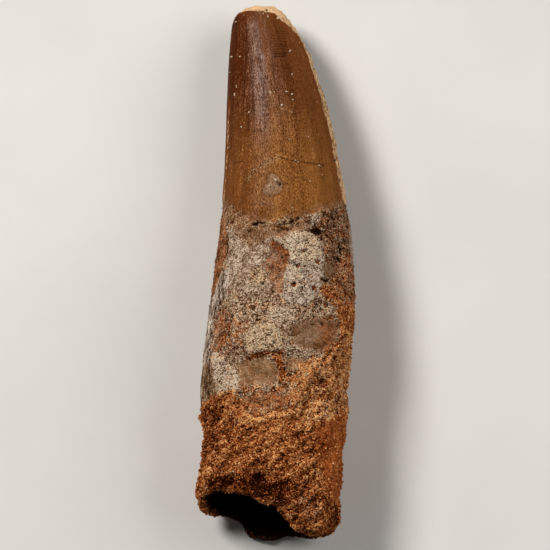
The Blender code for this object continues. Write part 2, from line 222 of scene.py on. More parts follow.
ROOT_PATCHES = [
    ("smooth zone under the enamel", 0.43, 0.30, 0.60, 0.8, 0.0, 0.00, 1.2, [
        (150, 190), (400, 190), (400, 215), (330, 222), (304, 232), (288, 238), (262, 244), (250, 246),
        (236, 232), (226, 224), (150, 224)]),
    ("dark flank", 0.28, 0.34, 0.2, 0.5, 0.0, 0.00, 0.9, [
        (312, 222), (326, 210), (350, 205), (372, 205), (372, 290), (345, 290), (333, 284), (326, 270),
        (324, 245)]),
    ("orange flank", 0.43, 0.78, 0.35, 0.7, 0.0, 0.12, 0.9, [
        (340, 262), (350, 256), (372, 250), (372, 430), (343, 430), (342, 370), (339, 330), (333, 300),
        (334, 285)]),
    ("dark part of that flank", 0.34, 0.50, 0.2, 0.6, 0.0, 0.05, 1.0, [
        (336, 268), (344, 258), (372, 250), (372, 300), (344, 302), (336, 292)]),
    ("rusty hollow", 0.40, 0.90, 0.0, 0.5, 0.0, -0.05, 0.6, [
        (318, 287), (326, 282), (335, 290), (334, 302), (322, 303)]),
    ("brown with cream worms", 0.47, 0.20, 0.0, 0.55, 0.0, 0.05, 0.9, [
        (222, 284), (240, 290), (271, 297), (300, 303), (318, 291), (332, 300), (330, 320), (292, 322),
        (262, 322), (247, 332), (226, 330)]),
    ("lower left streaks", 0.42, 0.34, 0.2, 0.5, 0.2, 0.00, 0.9, [
        (212, 322), (222, 310), (246, 318), (246, 346), (236, 356), (222, 352), (210, 350)]),
    ("red-brown hollow on the left", 0.40, 0.45, 0.35, 0.5, 0.25, -0.06, 0.8, [
        (216, 313), (224, 311), (232, 315), (231, 326), (226, 340), (220, 354), (213, 352), (212, 330)]),
    ("pink crust", 0.55, 0.09, 0.42, 0.28, 0.0, 0.16, 0.45, [
        (227, 227), (234, 232), (247, 247), (251, 249), (258, 243), (266, 238), (275, 236), (284, 236),
        (290, 250), (280, 258), (266, 264), (269, 281), (271, 296), (256, 299), (238, 292), (227, 283),
        (226, 252)]),
    ("paler left side of it", 0.65, 0.08, 0.42, 0.28, 0.0, 0.16, 0.7, [
        (229, 234), (238, 240), (242, 252), (242, 272), (233, 276), (229, 262)]),
    ("bright crust, lower", 0.69, 0.02, 0.0, 0.12, 0.0, 0.26, 0.5, [
        (286, 250), (300, 254), (316, 252), (324, 256), (322, 267), (326, 280), (318, 290), (310, 302),
        (299, 306), (284, 303), (282, 290), (284, 270)]),
    ("bright crust, upper", 0.75, 0.03, 0.0, 0.55, 0.0, 0.30, 0.5, [
        (276, 238), (287, 235), (295, 231), (310, 233), (323, 245), (322, 256), (306, 264), (292, 262),
        (287, 250)]),
    ("whitest part of it", 0.83, 0.02, 0.0, 0.35, 0.0, 0.30, 0.6, [
        (288, 239), (300, 236), (303, 248), (302, 266), (301, 290), (290, 293), (288, 272), (291, 256)]),
    ("yellow granules", 0.62, 0.15, 0.0, 0.8, 0.0, 0.15, 0.5, [
        (249, 272), (258, 269), (267, 274), (268, 283), (256, 286), (249, 281)]),
    ("grey-brown bare spot", 0.33, 0.25, 0.9, 0.6, 0.0, -0.10, 0.4, [
        (323, 266), (330, 263), (336, 268), (335, 276), (326, 277)]),
    ("tongue", 0.45, 0.36, 0.66, 0.2, 0.0, -0.12, 0.30, [
        (274.5, 241), (280, 246.5), (286, 250), (289.5, 254), (287, 264), (284, 276), (283, 292), (277, 295),
        (273, 288), (270, 277), (264.5, 270), (263.5, 263), (267.5, 258), (271.5, 250), (271.5, 244)]),
    ("orange heart of the tongue", 0.45, 0.46, 0.66, 0.4, 0.0, -0.12, 0.6, [
        (276, 258), (281, 256), (284, 262), (283, 278), (281, 290), (277, 290), (272, 276), (270, 266)]),
    ("dark rim of the tongue", 0.31, 0.58, 0.6, 0.5, 0.0, -0.12, 0.25, [
        (272, 240), (276, 240), (282, 246), (290, 252), (289, 259), (285, 268), (283.5, 262), (285, 256),
        (281, 252), (276, 249), (271, 249)]),
    ("white crust", 0.67, 0.06, 0.0, 0.45, 0.0, 0.28, 0.6, [
        (266, 309), (280, 306), (294, 310), (297, 322), (292, 330), (270, 326), (262, 318)]),
    ("yellow crust", 0.69, 0.08, 0.0, 0.72, 0.0, 0.42, 0.4, [
        (252, 326), (262, 322), (275, 322), (284, 330), (288, 340), (284, 351), (276, 353), (262, 352),
        (254, 355), (247, 350), (246, 336)]),
    ("bare patch, upper right", 0.41, 0.24, 0.86, 0.60, 0.0, -0.08, 0.9, [
        (290, 325), (302, 321), (320, 319), (338, 320), (339, 340), (338, 358), (324, 358), (312, 353),
        (300, 348), (292, 342)]),
    ("browner end of that patch", 0.40, 0.50, 0.90, 0.8, 0.0, -0.08, 1.4, [
        (318, 322), (336, 322), (338, 340), (335, 354), (326, 352), (318, 342)]),
    ("grey granules", 0.56, 0.10, 0.0, 0.35, 0.0, 0.18, 0.7, [
        (282, 343), (290, 340), (296, 348), (310, 351), (322, 351), (322, 356), (306, 357), (292, 356),
        (283, 352)]),
    ("bare patch, left", 0.47, 0.28, 0.88, 1.0, 0.0, -0.12, 0.35, [
        (237, 365), (246, 362), (259, 358), (272, 361), (277, 371), (274, 383), (257, 386), (241, 385)]),
    ("bare patch, middle", 0.45, 0.30, 0.75, 0.8, 0.0, -0.08, 0.45, [
        (286, 359), (303, 357), (306, 364), (298, 369), (286, 371)]),
    ("between the bare patches", 0.40, 0.50, 0.1, 0.5, 0.0, 0.08, 0.7, [
        (238, 386), (258, 386), (276, 384), (286, 374), (300, 372), (296, 392), (272, 394), (246, 395)]),
    ("bare patch, low", 0.45, 0.50, 0.60, 0.90, 0.0, -0.08, 0.5, [
        (244, 396), (259, 393), (288, 394), (290, 404), (279, 414), (257, 418), (243, 414)]),
    ("shadow under the crust", 0.16, 0.60, 0.2, 0.5, 0.0, -0.15, 0.3, [
        (245, 358), (252, 355), (258, 352), (270, 350), (283, 352), (284, 355), (270, 355), (258, 357),
        (248, 361)]),
    ("orange split", 0.31, 0.98, 0.0, 0.5, 0.0, 0.08, 0.35, [
        (270, 355), (280, 355), (283, 362), (285, 378), (281, 381), (279, 371), (275, 361)]),
    ("brown band under the pits", 0.42, 0.28, 0.70, 0.6, 0.0, -0.05, 0.6, [
        (244, 226), (256, 224), (272, 229), (276, 234), (264, 238), (250, 243), (240, 236)]),
    ("pinkish band", 0.47, 0.36, 0.75, 0.4, 0.0, 0.0, 0.5, [
        (276, 229), (288, 230), (298, 226), (304, 229), (292, 233), (282, 236), (274, 237), (268, 235)]),
    ("shadow under the tuft", 0.15, 0.40, 0.2, 0.6, 0.0, -0.25, 0.3, [
        (275, 225), (282, 228), (290, 227), (294, 221), (296, 224), (291, 229), (281, 230)]),
    ("granular tuft", 0.50, 0.22, 0.0, 1.0, 0.0, 0.25, 0.4, [
        (273, 219), (280, 217), (288, 216), (294, 217), (292, 223), (287, 227), (280, 227), (275, 224)]),
    ("grey speckle at the right", 0.50, 0.06, 0.0, 0.3, 0.0, 0.10, 0.5, [
        (308, 217), (316, 213), (322, 216), (318, 223), (310, 225)]),
    MIXED_SAND,
    ("pale skin on the right edge", 0.62, 0.12, 0.8, 0.2, 0.2, 0.02, 0.2, [
        (349, 221), (372, 221), (372, 266), (351, 264), (350, 240)]),
    ("pale crust on the left", 0.78, 0.15, 0.1, 0.30, 0.0, 0.20, 0.25, [
        (212, 354), (219, 352), (227, 362), (236, 369), (239, 378), (237, 394), (230, 402), (221, 405),
        (220, 392), (214, 380)]),
    ("dark end of the left margin", 0.24, 0.05, 0.3, 0.6, 0.7, -0.05, 0.5, [
        (150, 364), (208, 360), (213, 385), (213, 398), (206, 410), (150, 412)]),
    # Painted highlight: grey streaky ridges on the left margin, with a bluish-pale sheen painted where a
    # grazing highlight falls.
    ("silver streaks", 0.49, 0.00, 0.0, 0.0, 1.0, 0.08, 0.45, [
        (222, 272), (229, 268), (230, 286), (224, 300), (217, 312), (213, 332), (210, 364), (150, 366),
        (150, 316), (203, 312), (212, 296)]),
    ("red-brown left margin", 0.37, 0.48, 0.5, 0.7, 0.5, 0.02, 0.22, [
        (150, 212), (222, 214), (226, 226), (227, 244), (225, 262), (221, 272), (217, 284), (213, 296),
        (150, 304)]),
    ("crevice beside the margin", 0.22, 0.30, 0.2, 0.5, 0.3, -0.18, 0.15, [
        (227, 236), (229, 240), (228, 262), (226, 266), (226.5, 250)]),
]

STONE_PATCHES = [
    ("darker sand at the upper left", 0.41, 1.00, 0.0, 0.3, 0.0, 0.0, 1.5, [
        (196, 408), (216, 406), (238, 413), (245, 430), (240, 446), (224, 452), (196, 450)]),
    ("dark dip right of the middle", 0.40, 1.00, 0.0, 0.4, 0.0, -0.10, 1.2, [
        (299, 434), (311, 430), (316, 446), (312, 462), (301, 462), (297, 448)]),
    ("rubbed flank", 0.47, 0.92, 0.75, 0.9, 0.0, -0.05, 0.9, [
        (314, 404), (328, 376), (350, 372), (372, 400), (372, 500), (343, 512), (329, 492), (316, 445)]),
    # Painted shade: the next three rows darken the sand above the mouth, the hollow under the overhang above
    # the rim, and the right of the rim.
    ("shaded sand above the mouth", 0.21, 1.00, 0.0, 0.5, 0.0, 0.0, 1.0, [
        (206, 480), (232, 476), (262, 477), (292, 482), (300, 500), (286, 506), (262, 498), (242, 496),
        (212, 498)]),
    ("hollow above the rim", 0.05, 1.00, 0.0, 0.5, 0.0, -0.40, 0.8, [
        (212, 478), (232, 476), (250, 480), (262, 477), (276, 479), (290, 481), (288, 487), (270, 491),
        (246, 489), (222, 487)]),
    ("shade along the right of the rim", 0.37, 1.00, 0.0, 0.5, 0.0, 0.0, 1.0, [
        (286, 488), (306, 486), (330, 500), (350, 512), (350, 545), (310, 545), (296, 520)]),
    ("lighter sand on the rim", 0.50, 0.66, 0.0, 0.2, 0.0, 0.10, 0.6, [
        (300, 496), (310, 494), (322, 504), (320, 516), (308, 518), (299, 508)]),
    MIXED_SAND,
    ("golden lip", 0.90, 0.97, 0.0, 1.0, 0.0, 0.45, 0.25, [
        (242, 404), (247, 413), (253, 417), (262, 414), (270, 409), (284, 408), (292, 411), (289, 416),
        (276, 417), (264, 422), (253, 424), (245, 418), (240, 410)]),
]
BROWN_SPOTS = [
    (294, 284, 2.6), (314, 288, 3.0), (298, 266, 2.2), (288, 262, 1.8), (303, 251, 1.8), (307, 240, 2.0),
    (318, 262, 1.8), (322, 279, 2.0), (310, 276, 1.6), (331, 317, 2.6), (326, 305, 2.4),
]
ROUND = [(math.cos(0.7 * turn), math.sin(0.7 * turn)) for turn in range(9)]
for right, down, size in BROWN_SPOTS:
    spot_outline = [(right + size * x, down + size * y) for x, y in ROUND]
    ROOT_PATCHES.append(("brown spot", 0.26, 0.70, 0.3, 0.5, 0.0, -0.20, 0.20, spot_outline))
print(len(ROOT_PATCHES), "patches on the root and", len(STONE_PATCHES), "on the sandstone")

# %% [markdown]
# ## A finer skin
#
# The measured model has facets one or two millimetres wide. We copy it, round it with a subdivision, and wrap
# it in a voxel skin with an even mesh. A voxel skin is a good start for stone and bone: it has no long thin
# faces, and every place can take the same amount of detail. Where the surface is rough we then split each
# face in four: on the root, down the worn strip, at the tip, and beside the cracks and the scab. The plain
# enamel, the underside and the end that the sandstone hides stay as they are, because detail should be spent
# where it shows.

# %% Copy, round, remesh and refine
def fine_skin(node, name, voxel_mm, smoothing, refine=None):
    """A fine, even mesh of a measured piece. refine says which face middles, in millimetres, to split."""
    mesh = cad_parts[node].data.copy()
    weld = bmesh.new()
    weld.from_mesh(mesh)
    bmesh.ops.remove_doubles(weld, verts=weld.verts, dist=1e-7)
    weld.to_mesh(mesh)
    weld.free()
    coarse = bpy.data.objects.new(name + "_coarse", mesh)
    bpy.context.scene.collection.objects.link(coarse)
    rounding = coarse.modifiers.new("round", "SUBSURF")
    rounding.levels = rounding.render_levels = 2
    skin = coarse.modifiers.new("skin", "REMESH")
    skin.mode = "VOXEL"
    skin.voxel_size = voxel_mm * MM
    soften = coarse.modifiers.new("soften", "SMOOTH")
    soften.factor = 0.5
    soften.iterations = smoothing
    evaluated = coarse.evaluated_get(bpy.context.evaluated_depsgraph_get())
    fine = bpy.data.objects.new(name, bpy.data.meshes.new_from_object(evaluated))
    fine.data.name = name
    fine.data.materials.clear()
    bpy.data.objects.remove(coarse)
    bpy.context.scene.collection.objects.link(fine)
    if refine is not None:
        split = bmesh.new()
        split.from_mesh(fine.data)
        middles = np.array([face.calc_center_median() for face in split.faces]) / MM
        chosen = refine(middles, np.array([face.normal for face in split.faces]))
        edges = {edge for face, wanted in zip(split.faces, chosen) if wanted for edge in face.edges}
        bmesh.ops.subdivide_edges(split, edges=sorted(edges, key=lambda e: e.index), cuts=1,
                                  use_grid_fill=True)
        for _ in range(2):
            bmesh.ops.smooth_vert(split, verts=split.verts, factor=0.5, use_axis_x=True, use_axis_y=True,
                                  use_axis_z=True)
        split.to_mesh(fine.data)
        split.free()
    fine.data.shade_smooth()
    fine.data.calc_loop_triangles()
    print(f"{name}: {len(fine.data.vertices)} vertices, {len(fine.data.loop_triangles)} triangles")
    return fine


CRACK = [(279, 157.5), (284, 158.3), (291, 160.4), (296, 161.3), (304, 162.3), (313, 164.0), (324, 165.7)]
OLD_CRACK = [(248, 179), (252, 174.5), (256.4, 171), (262, 165.5), (266, 162.5), (272, 160), (279, 157.5)]
HAIRLINES = [
    [(272.6, 56), (273.2, 66), (274, 74), (274.5, 80)], [(237.5, 16), (236.6, 34), (236.2, 55)],
    [(250, 106), (249.2, 118), (248.6, 130)], [(272, 54.0), (287, 53.2)], [(273, 56.6), (286, 56.2)],
    [(235, 163.6), (238, 162.8), (242, 161)], [(247, 24), (246, 60), (244.5, 96)],
]
SCAB_SPOT, SCAB_REACH, CRACK_REACH = (273.0, 184.0), 15.0, 3.5
STONE_END, CROWN_START, TIP_START = 31.5, 74.0, 110.5
STRIP_MIDDLE, STRIP_HALF_WIDTH = 5.0, 26.0


def rough_parts(middles, normals):
    """The root, the worn strip and tip of the crown, and the ground beside its cracks and its scab."""
    station, angle, _ = round_the_tooth(middles)
    turn = np.radians(angle)
    outwards = normals[:, 0] * np.cos(turn) + normals[:, 2] * np.sin(turn) > 0.2
    root = (station > STONE_END) & (station < CROWN_START) & (normals[:, 2] > -0.7)
    strip = (station >= CROWN_START) & (np.abs(angle - STRIP_MIDDLE) < STRIP_HALF_WIDTH)
    tip = station > TIP_START
    spots = in_picture(middles)
    marked = distance_to_spot(spots, SCAB_SPOT) < SCAB_REACH
    for line in (CRACK, OLD_CRACK, *HAIRLINES):
        marked |= distance_to_line(spots, line) < CRACK_REACH
    return outwards & (root | strip) | tip | (marked & (normals[:, 2] > 0.1) & (station > CROWN_START))


tooth = fine_skin("tooth", "fossil_tooth", voxel_mm=0.52, smoothing=5, refine=rough_parts)
stone = fine_skin("sandstone_matrix", "rusty_sandstone", voxel_mm=0.27, smoothing=4)

# %% [markdown]
# ## Moving the skin in and out
#
# All relief is made the same way: work out a height for each vertex, and move it that far along its normal.
# The tooth lies on the floor, so nothing may go below it. `Skin` keeps what we need to know about each
# vertex.

# %% A skin and its relief
FLOOR_GAP_MM = 0.02
STREAK_RADIUS, STREAK_SQUEEZE = 13.0, 0.16
GROUND_NUMBERS = ("light", "rust", "bare", "warm", "streaky", "relief")


class Skin:
    """What we know about each vertex of a piece, in millimetres, pixels and degrees."""

    def __init__(self, piece):
        self.piece = piece
        self.points = numbers(piece.data.vertices, "co", 3).astype(float) / MM
        self.normals = numbers(piece.data.vertex_normals, "vector", 3).astype(float)
        self.station, self.angle, self.radius = round_the_tooth(self.points)
        self.spots = in_picture(self.points)
        depth = np.interp(self.station, slice_stations, slice_middles[:, 2])
        under = smoothstep(0.0, 1.0, (depth - self.points[:, 2]) / depth)
        self.spots = self.spots + under[:, None] * UNDER_SHIFT
        turn = np.radians(self.angle)
        outwards = self.normals[:, 0] * np.cos(turn) + self.normals[:, 2] * np.sin(turn)
        towards_tip = np.maximum(self.normals[:, 1], 0.0)
        self.outside = smoothstep(-0.35, 0.0, outwards + towards_tip)
        self.height = np.zeros(len(self.points))

    def inside(self, outline):
        """How far inside a closed outline of the picture each vertex is, in millimetres."""
        return distance_inside(self.spots, outline) / PIXELS_PER_MM

    def from_line(self, line):
        """How far from an open line of the picture each vertex is, in millimetres."""
        return distance_to_line(self.spots, line) / PIXELS_PER_MM

    def lay_patches(self, table, start):
        """Lays a table of patches on the skin, one over the other. start is the ground's own row."""
        ragged = 0.5 * waves(self.points, 2.3, 14.0) + 0.35 * waves(self.points, 1.1, 17.0)
        ragged = ragged + 0.2 * waves(self.points, 0.6, 19.0)
        looks = np.tile(np.array(start, float), (len(self.points), 1))
        for _, *numbers_of_patch, edge, outline in table:
            share = smoothstep(-edge, edge, self.inside(outline) + (0.35 + 0.9 * edge) * ragged)[:, None]
            looks = looks * (1.0 - share) + np.array(numbers_of_patch) * share
        self.light, self.rust, self.bare, self.warm, self.streaky, self.thick = looks.T

    def move(self):
        """Moves the piece's vertices by the heights, and keeps them above the floor."""
        self.points = self.points + self.normals * self.height[:, None]
        self.points[:, 2] = np.maximum(self.points[:, 2], FLOOR_GAP_MM)
        self.piece.data.vertices.foreach_set("co", (self.points * MM).astype(np.float32).ravel())
        self.piece.data.update()

    def keep(self, name, values):
        """Stores one number for each vertex, for the material to read."""
        attribute = self.piece.data.attributes.new(name, "FLOAT", "POINT")
        attribute.data.foreach_set("value", np.asarray(values, np.float32))

    def keep_ground(self):
        """Stores the six numbers of the ground, and for the streaks a place round and along the tooth."""
        for name in GROUND_NUMBERS:
            self.keep(name, getattr(self, name))
        turn = np.radians(self.angle)
        places = [STREAK_RADIUS * np.cos(turn), STREAK_SQUEEZE * self.station, STREAK_RADIUS * np.sin(turn)]
        attribute = self.piece.data.attributes.new("lengthwise", "FLOAT_VECTOR", "POINT")
        attribute.data.foreach_set("vector", np.stack(places, axis=1).astype(np.float32).ravel())


tooth_skin = Skin(tooth)
stone_skin = Skin(stone)

stone_tree = KDTree(len(stone_skin.points))
for number, point in enumerate(stone_skin.points):
    stone_tree.insert(point, number)
stone_tree.balance()
NEAR_STONE, FAR_MM = 62.0, 50.0
lower_root = np.flatnonzero(tooth_skin.station < NEAR_STONE)
to_stone = np.full(len(tooth_skin.points), FAR_MM)
to_stone[lower_root] = [stone_tree.find(point)[2] for point in tooth_skin.points[lower_root]]
print(f"the tooth is {tooth_skin.station.max():.1f} mm long from the far lip of the stone")

# %% [markdown]
# ## Bare dentine at the tip and down the convex edge
#
# Enamel is thin, hard and brown. Where it has worn through, the cream dentine shows: over the blunt tip, and
# in a lumpy strip down the convex edge. The border is a line in the picture. Left of it is enamel, which
# stands nearly a fifth of a millimetre proud; right of it is dentine, uneven to the touch. Below the edge,
# where the picture doesn't reach, the strip ends a little way round. Down the concave side runs a thin, wavy,
# broken line of it, where the fine keel there has worn pale.

# %% The worn border
WORN_BORDER = [
    (232, 12), (245, 12.5), (256, 13.5), (266, 12), (275, 13), (278, 17), (281, 20.5), (286, 22.5),
    (289, 26.5), (293, 31), (297, 34), (301, 41), (305, 49), (308, 57), (311, 67), (314, 77), (318, 88),
    (321, 98), (323, 109), (326, 118), (329, 128), (332, 141), (333, 153), (335, 161), (337, 171),
    (338.5, 181), (340.5, 191), (343, 201), (349, 209), (372, 214), (372, -30), (200, -30), (215, 12),
]
STRIP_TURN = -16.0
WORN_TIP_STATION = 113.6
KEEL_TURN = 169.0

above_border = tooth_skin.inside(WORN_BORDER)
below_edge = np.radians(tooth_skin.angle - STRIP_TURN) * tooth_skin.radius
on_strip = np.where(np.abs(tooth_skin.angle) < 90.0, below_edge, -5.0)
on_tip = tooth_skin.station - WORN_TIP_STATION
dentine = np.minimum(above_border, np.maximum(on_strip, on_tip))
from_keel = np.radians(tooth_skin.angle - KEEL_TURN) * tooth_skin.radius
from_keel += 0.5 * waves(tooth_skin.points, 9.0, 13.0)
keel = 0.12 - np.abs(from_keel)
keel += 0.6 * waves(tooth_skin.points, 2.2, 11.0) - 6.0 * smoothstep(93.0, 97.0, tooth_skin.station)
dentine = np.maximum(dentine, keel)
dentine_share = smoothstep(-0.35, 0.35, dentine)
dentine_lumps = 0.34 * waves(tooth_skin.points, 1.7, 4.0) + 0.24 * waves(tooth_skin.points, 0.8, 9.0)
tooth_skin.height += dentine_share * (dentine_lumps - 0.06) * tooth_skin.outside
print(f"dentine shows on {100 * dentine_share.mean():.1f}% of the vertices")

# %% [markdown]
# ## Where the enamel ends
#
# The enamel's lower edge is ragged and stained. Just under it lie a few deep pits. A pit here is a short
# line, bent by noise so that no two look alike, with steep sides. Among them a tuft of granules bulges a
# little.

# %% The foot of the enamel and its pits
ENAMEL_FOOT = [
    (150, 201), (222, 201), (230, 204), (240, 212), (248, 217), (258, 219), (270, 218), (282, 218),
    (293, 218), (304, 213), (316, 208), (328, 205), (340, 202), (350, 205), (400, 206), (400, -60),
    (150, -60),
]
PIT_LINES = [
    ([(254, 224), (257, 223)], 1.3, 0.9), ([(260, 222), (263, 222)], 1.2, 0.8),
    ([(284, 223), (287, 224)], 0.9, 0.5), ([(290, 222), (292, 219)], 1.4, 0.8),
    ([(295, 218), (298, 217)], 0.8, 0.5), ([(313.5, 230), (318, 231.5)], 2.8, 1.2),
    ([(332, 216), (334, 219)], 1.1, 0.5), ([(340, 247), (341, 252)], 1.2, 0.8),
    ([(338, 258), (341, 260)], 1.2, 0.7), ([(299, 252), (300, 253)], 0.9, 0.7),
    ([(306, 251), (305, 252)], 0.8, 0.5), ([(292, 263), (297, 265)], 0.9, 0.6),
    ([(293, 283), (295, 284)], 0.9, 0.4), ([(313, 288), (315, 289)], 0.9, 0.4),
    ([(325, 279), (327, 280)], 0.9, 0.5), ([(260, 282), (263, 283)], 1.1, 0.6),
    ([(248, 278), (250, 279)], 0.9, 0.4), ([(321, 322), (323, 323)], 1.0, 0.5),
    ([(305, 240), (307, 241)], 0.8, 0.5), ([(311, 238), (312, 239)], 0.7, 0.5),
    ([(263, 392), (266, 394)], 1.0, 0.4),
]
PORES = [(255, 9), (259, 10), (267, 9), (292, 28), (323, 101), (259, 60), (280, 184), (335, 160)]
TUFT, TUFT_SIZE = (282, 218), (11.0, 6.0)

enamel = tooth_skin.inside(ENAMEL_FOOT)
enamel = enamel + 0.8 * waves(tooth_skin.points, 2.6, 2.0) + 0.4 * waves(tooth_skin.points, 1.1, 3.0)
bend = np.stack([waves(tooth_skin.points, 1.2, 61.0), waves(tooth_skin.points, 1.2, 67.0)], axis=1)
bent_spots = tooth_skin.spots + 2.6 * bend
pits = np.zeros(len(tooth_skin.points))
for line, width, depth in PIT_LINES:
    away = distance_to_line(bent_spots, line)
    pits = np.maximum(pits, depth * (1.0 - smoothstep(0.5 * width, 1.9 * width, away)))
for pore_spot in PORES:
    away = distance_to_spot(tooth_skin.spots, pore_spot)
    pits = np.maximum(pits, 0.60 * (1.0 - smoothstep(0.9, 2.1, away)))
small_pits = 1.0 - smoothstep(0.10, 0.30, cells(tooth_skin.points, 2.1, 71.0))
near_foot = smoothstep(-8.0, -1.0, enamel) * (1.0 - smoothstep(-0.5, 1.0, enamel))
pits = np.maximum(pits, 0.40 * small_pits * near_foot)
on_root = 1.0 - smoothstep(-0.2, 0.5, enamel)
tuft = distance_to_spot(tooth_skin.spots, TUFT, *TUFT_SIZE)
tooth_skin.height += tooth_skin.outside * (0.35 * (1.0 - smoothstep(0.3, 1.1, tuft)) - pits)
print(f"{len(PIT_LINES)} pits, the deepest {pits.max():.1f} mm")

# %% [markdown]
# ## Relief of the root
#
# Lime and sand have set on the root in thin crusts. The table says how thick each is. On top of that comes
# the crumble: short waves and pores, strong on a crust, nearly none on a bare patch. We keep the crumble as a
# number too, as painted light and shade: what stands proud is painted paler and what lies deep darker.
# Against the stone's edge the sand is heaped up, so that the two meet without a gap. The measured pieces keep
# clear of each other, but these two skins run a few tenths of a millimetre into each other, inside the stone.

# %% Heights on the root
ROOT_GROUND = (0.46, 0.20, 0.25, 0.5, 0.0, 0.0)

tooth_skin.lay_patches(ROOT_PATCHES, ROOT_GROUND)
heap = smoothstep(1.6, 0.3, to_stone + 0.7 * waves(tooth_skin.points, 1.6, 29.0))
tooth_skin.rust = np.maximum(tooth_skin.rust, 0.9 * heap)
tooth_skin.bare = tooth_skin.bare * (1.0 - heap)
tooth_skin.thick = tooth_skin.thick + 0.45 * heap
crumble = 0.38 * waves(tooth_skin.points, 1.9, 21.0) + 0.32 * waves(tooth_skin.points, 0.95, 23.0)
crumble += 0.38 * waves(tooth_skin.points, 0.55, 25.0)
pores = 1.0 - smoothstep(0.06, 0.24, cells(tooth_skin.points, 1.7, 5.0))
pores *= smoothstep(-0.1, 0.3, waves(tooth_skin.points, 4.0, 35.0))
crumble = crumble - 0.60 * pores + 0.04
crusty = smoothstep(0.40, 0.60, tooth_skin.light + 0.3 * tooth_skin.rust)
roughness = (1.0 - 0.85 * tooth_skin.bare) * (0.35 + crusty)
fibres = waves(tooth_skin.points * [1.0, 0.10, 1.0], 0.7, 33.0) * tooth_skin.streaky
root_height = tooth_skin.thick + 0.30 * roughness * crumble + 0.12 * fibres
tooth_skin.height += on_root * tooth_skin.outside * root_height
# relief is painted light and shade: paler on what stands proud, darker in hollows and pits.
tooth_skin.relief = crumble * np.clip(roughness, 0.0, 1.0) - 0.8 * pits
print(f"root relief from {root_height.min():.2f} to {root_height.max():.2f} mm")

# %% [markdown]
# ## Crack, scab and worn shoulder
#
# On the crown there is little relief: long shallow flutes, one arched crack whose left half is old and
# frayed, a few hairlines, and a flat scab of crust with a pale crumb and two pores in it. The crack is finer
# than the mesh, so the mesh only dips there, and the material draws the line itself from a stored distance.
# At the tip the shoulder on the convex side is worn a little rounder.

# %% Heights on the crown
SCAB_OUTLINE = [
    (263, 190), (264.5, 186), (269, 184), (268, 179), (271, 174), (275, 175), (279, 178), (282, 183),
    (283, 189), (279, 193), (272, 196), (265, 194),
]
SCAB_DETAILS = [((276.3, 182.0), 2.6, 0.45), ((278.6, 185.3), 1.9, -0.60), ((272.0, 180.0), 1.5, -0.35)]
SHOULDER_SPOT = (291, 13)
FLUTES = 17.0

crack = tooth_skin.from_line(CRACK)
old_crack = tooth_skin.from_line(OLD_CRACK)
hairline = np.min([tooth_skin.from_line(line) for line in HAIRLINES], axis=0)
scab = tooth_skin.inside(SCAB_OUTLINE)
flutes = np.cos(np.radians(tooth_skin.angle * FLUTES) + 1.5 * waves(tooth_skin.points, 12.0, 47.0))
crown_height = 0.12 + 0.018 * flutes + 0.05 * waves(tooth_skin.points, 5.0, 51.0)
crown_height -= 0.10 * (1.0 - smoothstep(0.1, 0.55, crack))
crown_height += 0.12 * smoothstep(-0.2, 0.2, scab)
for detail_spot, size, rise in SCAB_DETAILS:
    away = distance_to_spot(tooth_skin.spots, detail_spot)
    crown_height += rise * (1.0 - smoothstep(0.3 * size, size, away))
tooth_skin.height += (1.0 - on_root) * (1.0 - dentine_share) * tooth_skin.outside * crown_height
shoulder = distance_to_spot(tooth_skin.spots, SHOULDER_SPOT)
tooth_skin.height -= 0.55 * (1.0 - smoothstep(2.0, 15.0, shoulder))
tooth_skin.move()
print(f"tooth relief from {tooth_skin.height.min():.2f} to {tooth_skin.height.max():.2f} mm")

# %% [markdown]
# ## What the tooth's material needs to know
#
# The numbers go onto the mesh. With them goes a place *round and along* the tooth, squeezed lengthwise, for
# the streaks: noise read at squeezed places is stretched noise, and because it goes round by angle, the
# streaks close in towards the tip as enamel's do.

# %% Store the numbers on the tooth
CROWN_FOOT, CROWN_LENGTH = 69.0, 46.0
RINGED_SPOT, RINGED_SIZE = (281.0, 44.0), (10.0, 20.0)

tooth_skin.keep_ground()
tooth_numbers = {
    "enamel": enamel, "dentine": dentine, "crack": crack, "old_crack": old_crack, "hairline": hairline,
    "scab": scab,
    "ringed": 1.0 - smoothstep(0.5, 1.1, distance_to_spot(tooth_skin.spots, RINGED_SPOT, *RINGED_SIZE)),
    "pits": np.clip(pits / 0.7, 0.0, 1.0),
    "crown_up": np.clip((tooth_skin.station - CROWN_FOOT) / CROWN_LENGTH, 0.0, 1.0),
    "leftward": -np.cos(np.radians(tooth_skin.angle)),
    "outer": tooth_skin.outside,
}
for name, values in tooth_numbers.items():
    tooth_skin.keep(name, values)
print("attributes on the tooth:", len(tooth.data.attributes))

# %% [markdown]
# ## The sandstone
#
# Sandstone is grains with holes between them. From a step away it shows lumps of two or three millimetres
# with dark gaps between, drawn out on a slant, the way the bed was laid. Close up it shows the grains. Lumps
# and gaps go into the skin here, and real grains are scattered on it further on. Where sand runs on over the
# root, the stone is a quarter of a millimetre thinner, which leaves less of a step.

# %% Lumps, gaps and a rubbed flank
STONE_GROUND = (0.52, 1.00, 0.0, 0.5, 0.0, 0.0)
BED_SLANT = math.radians(35.0)
MOUTH = [
    (217, 494), (242, 494), (248, 495), (260, 499), (274, 502), (291, 515), (304, 527), (317, 535),
    (300, 537), (276, 538), (258, 536), (246, 529), (236, 521), (222, 516), (214, 507),
]

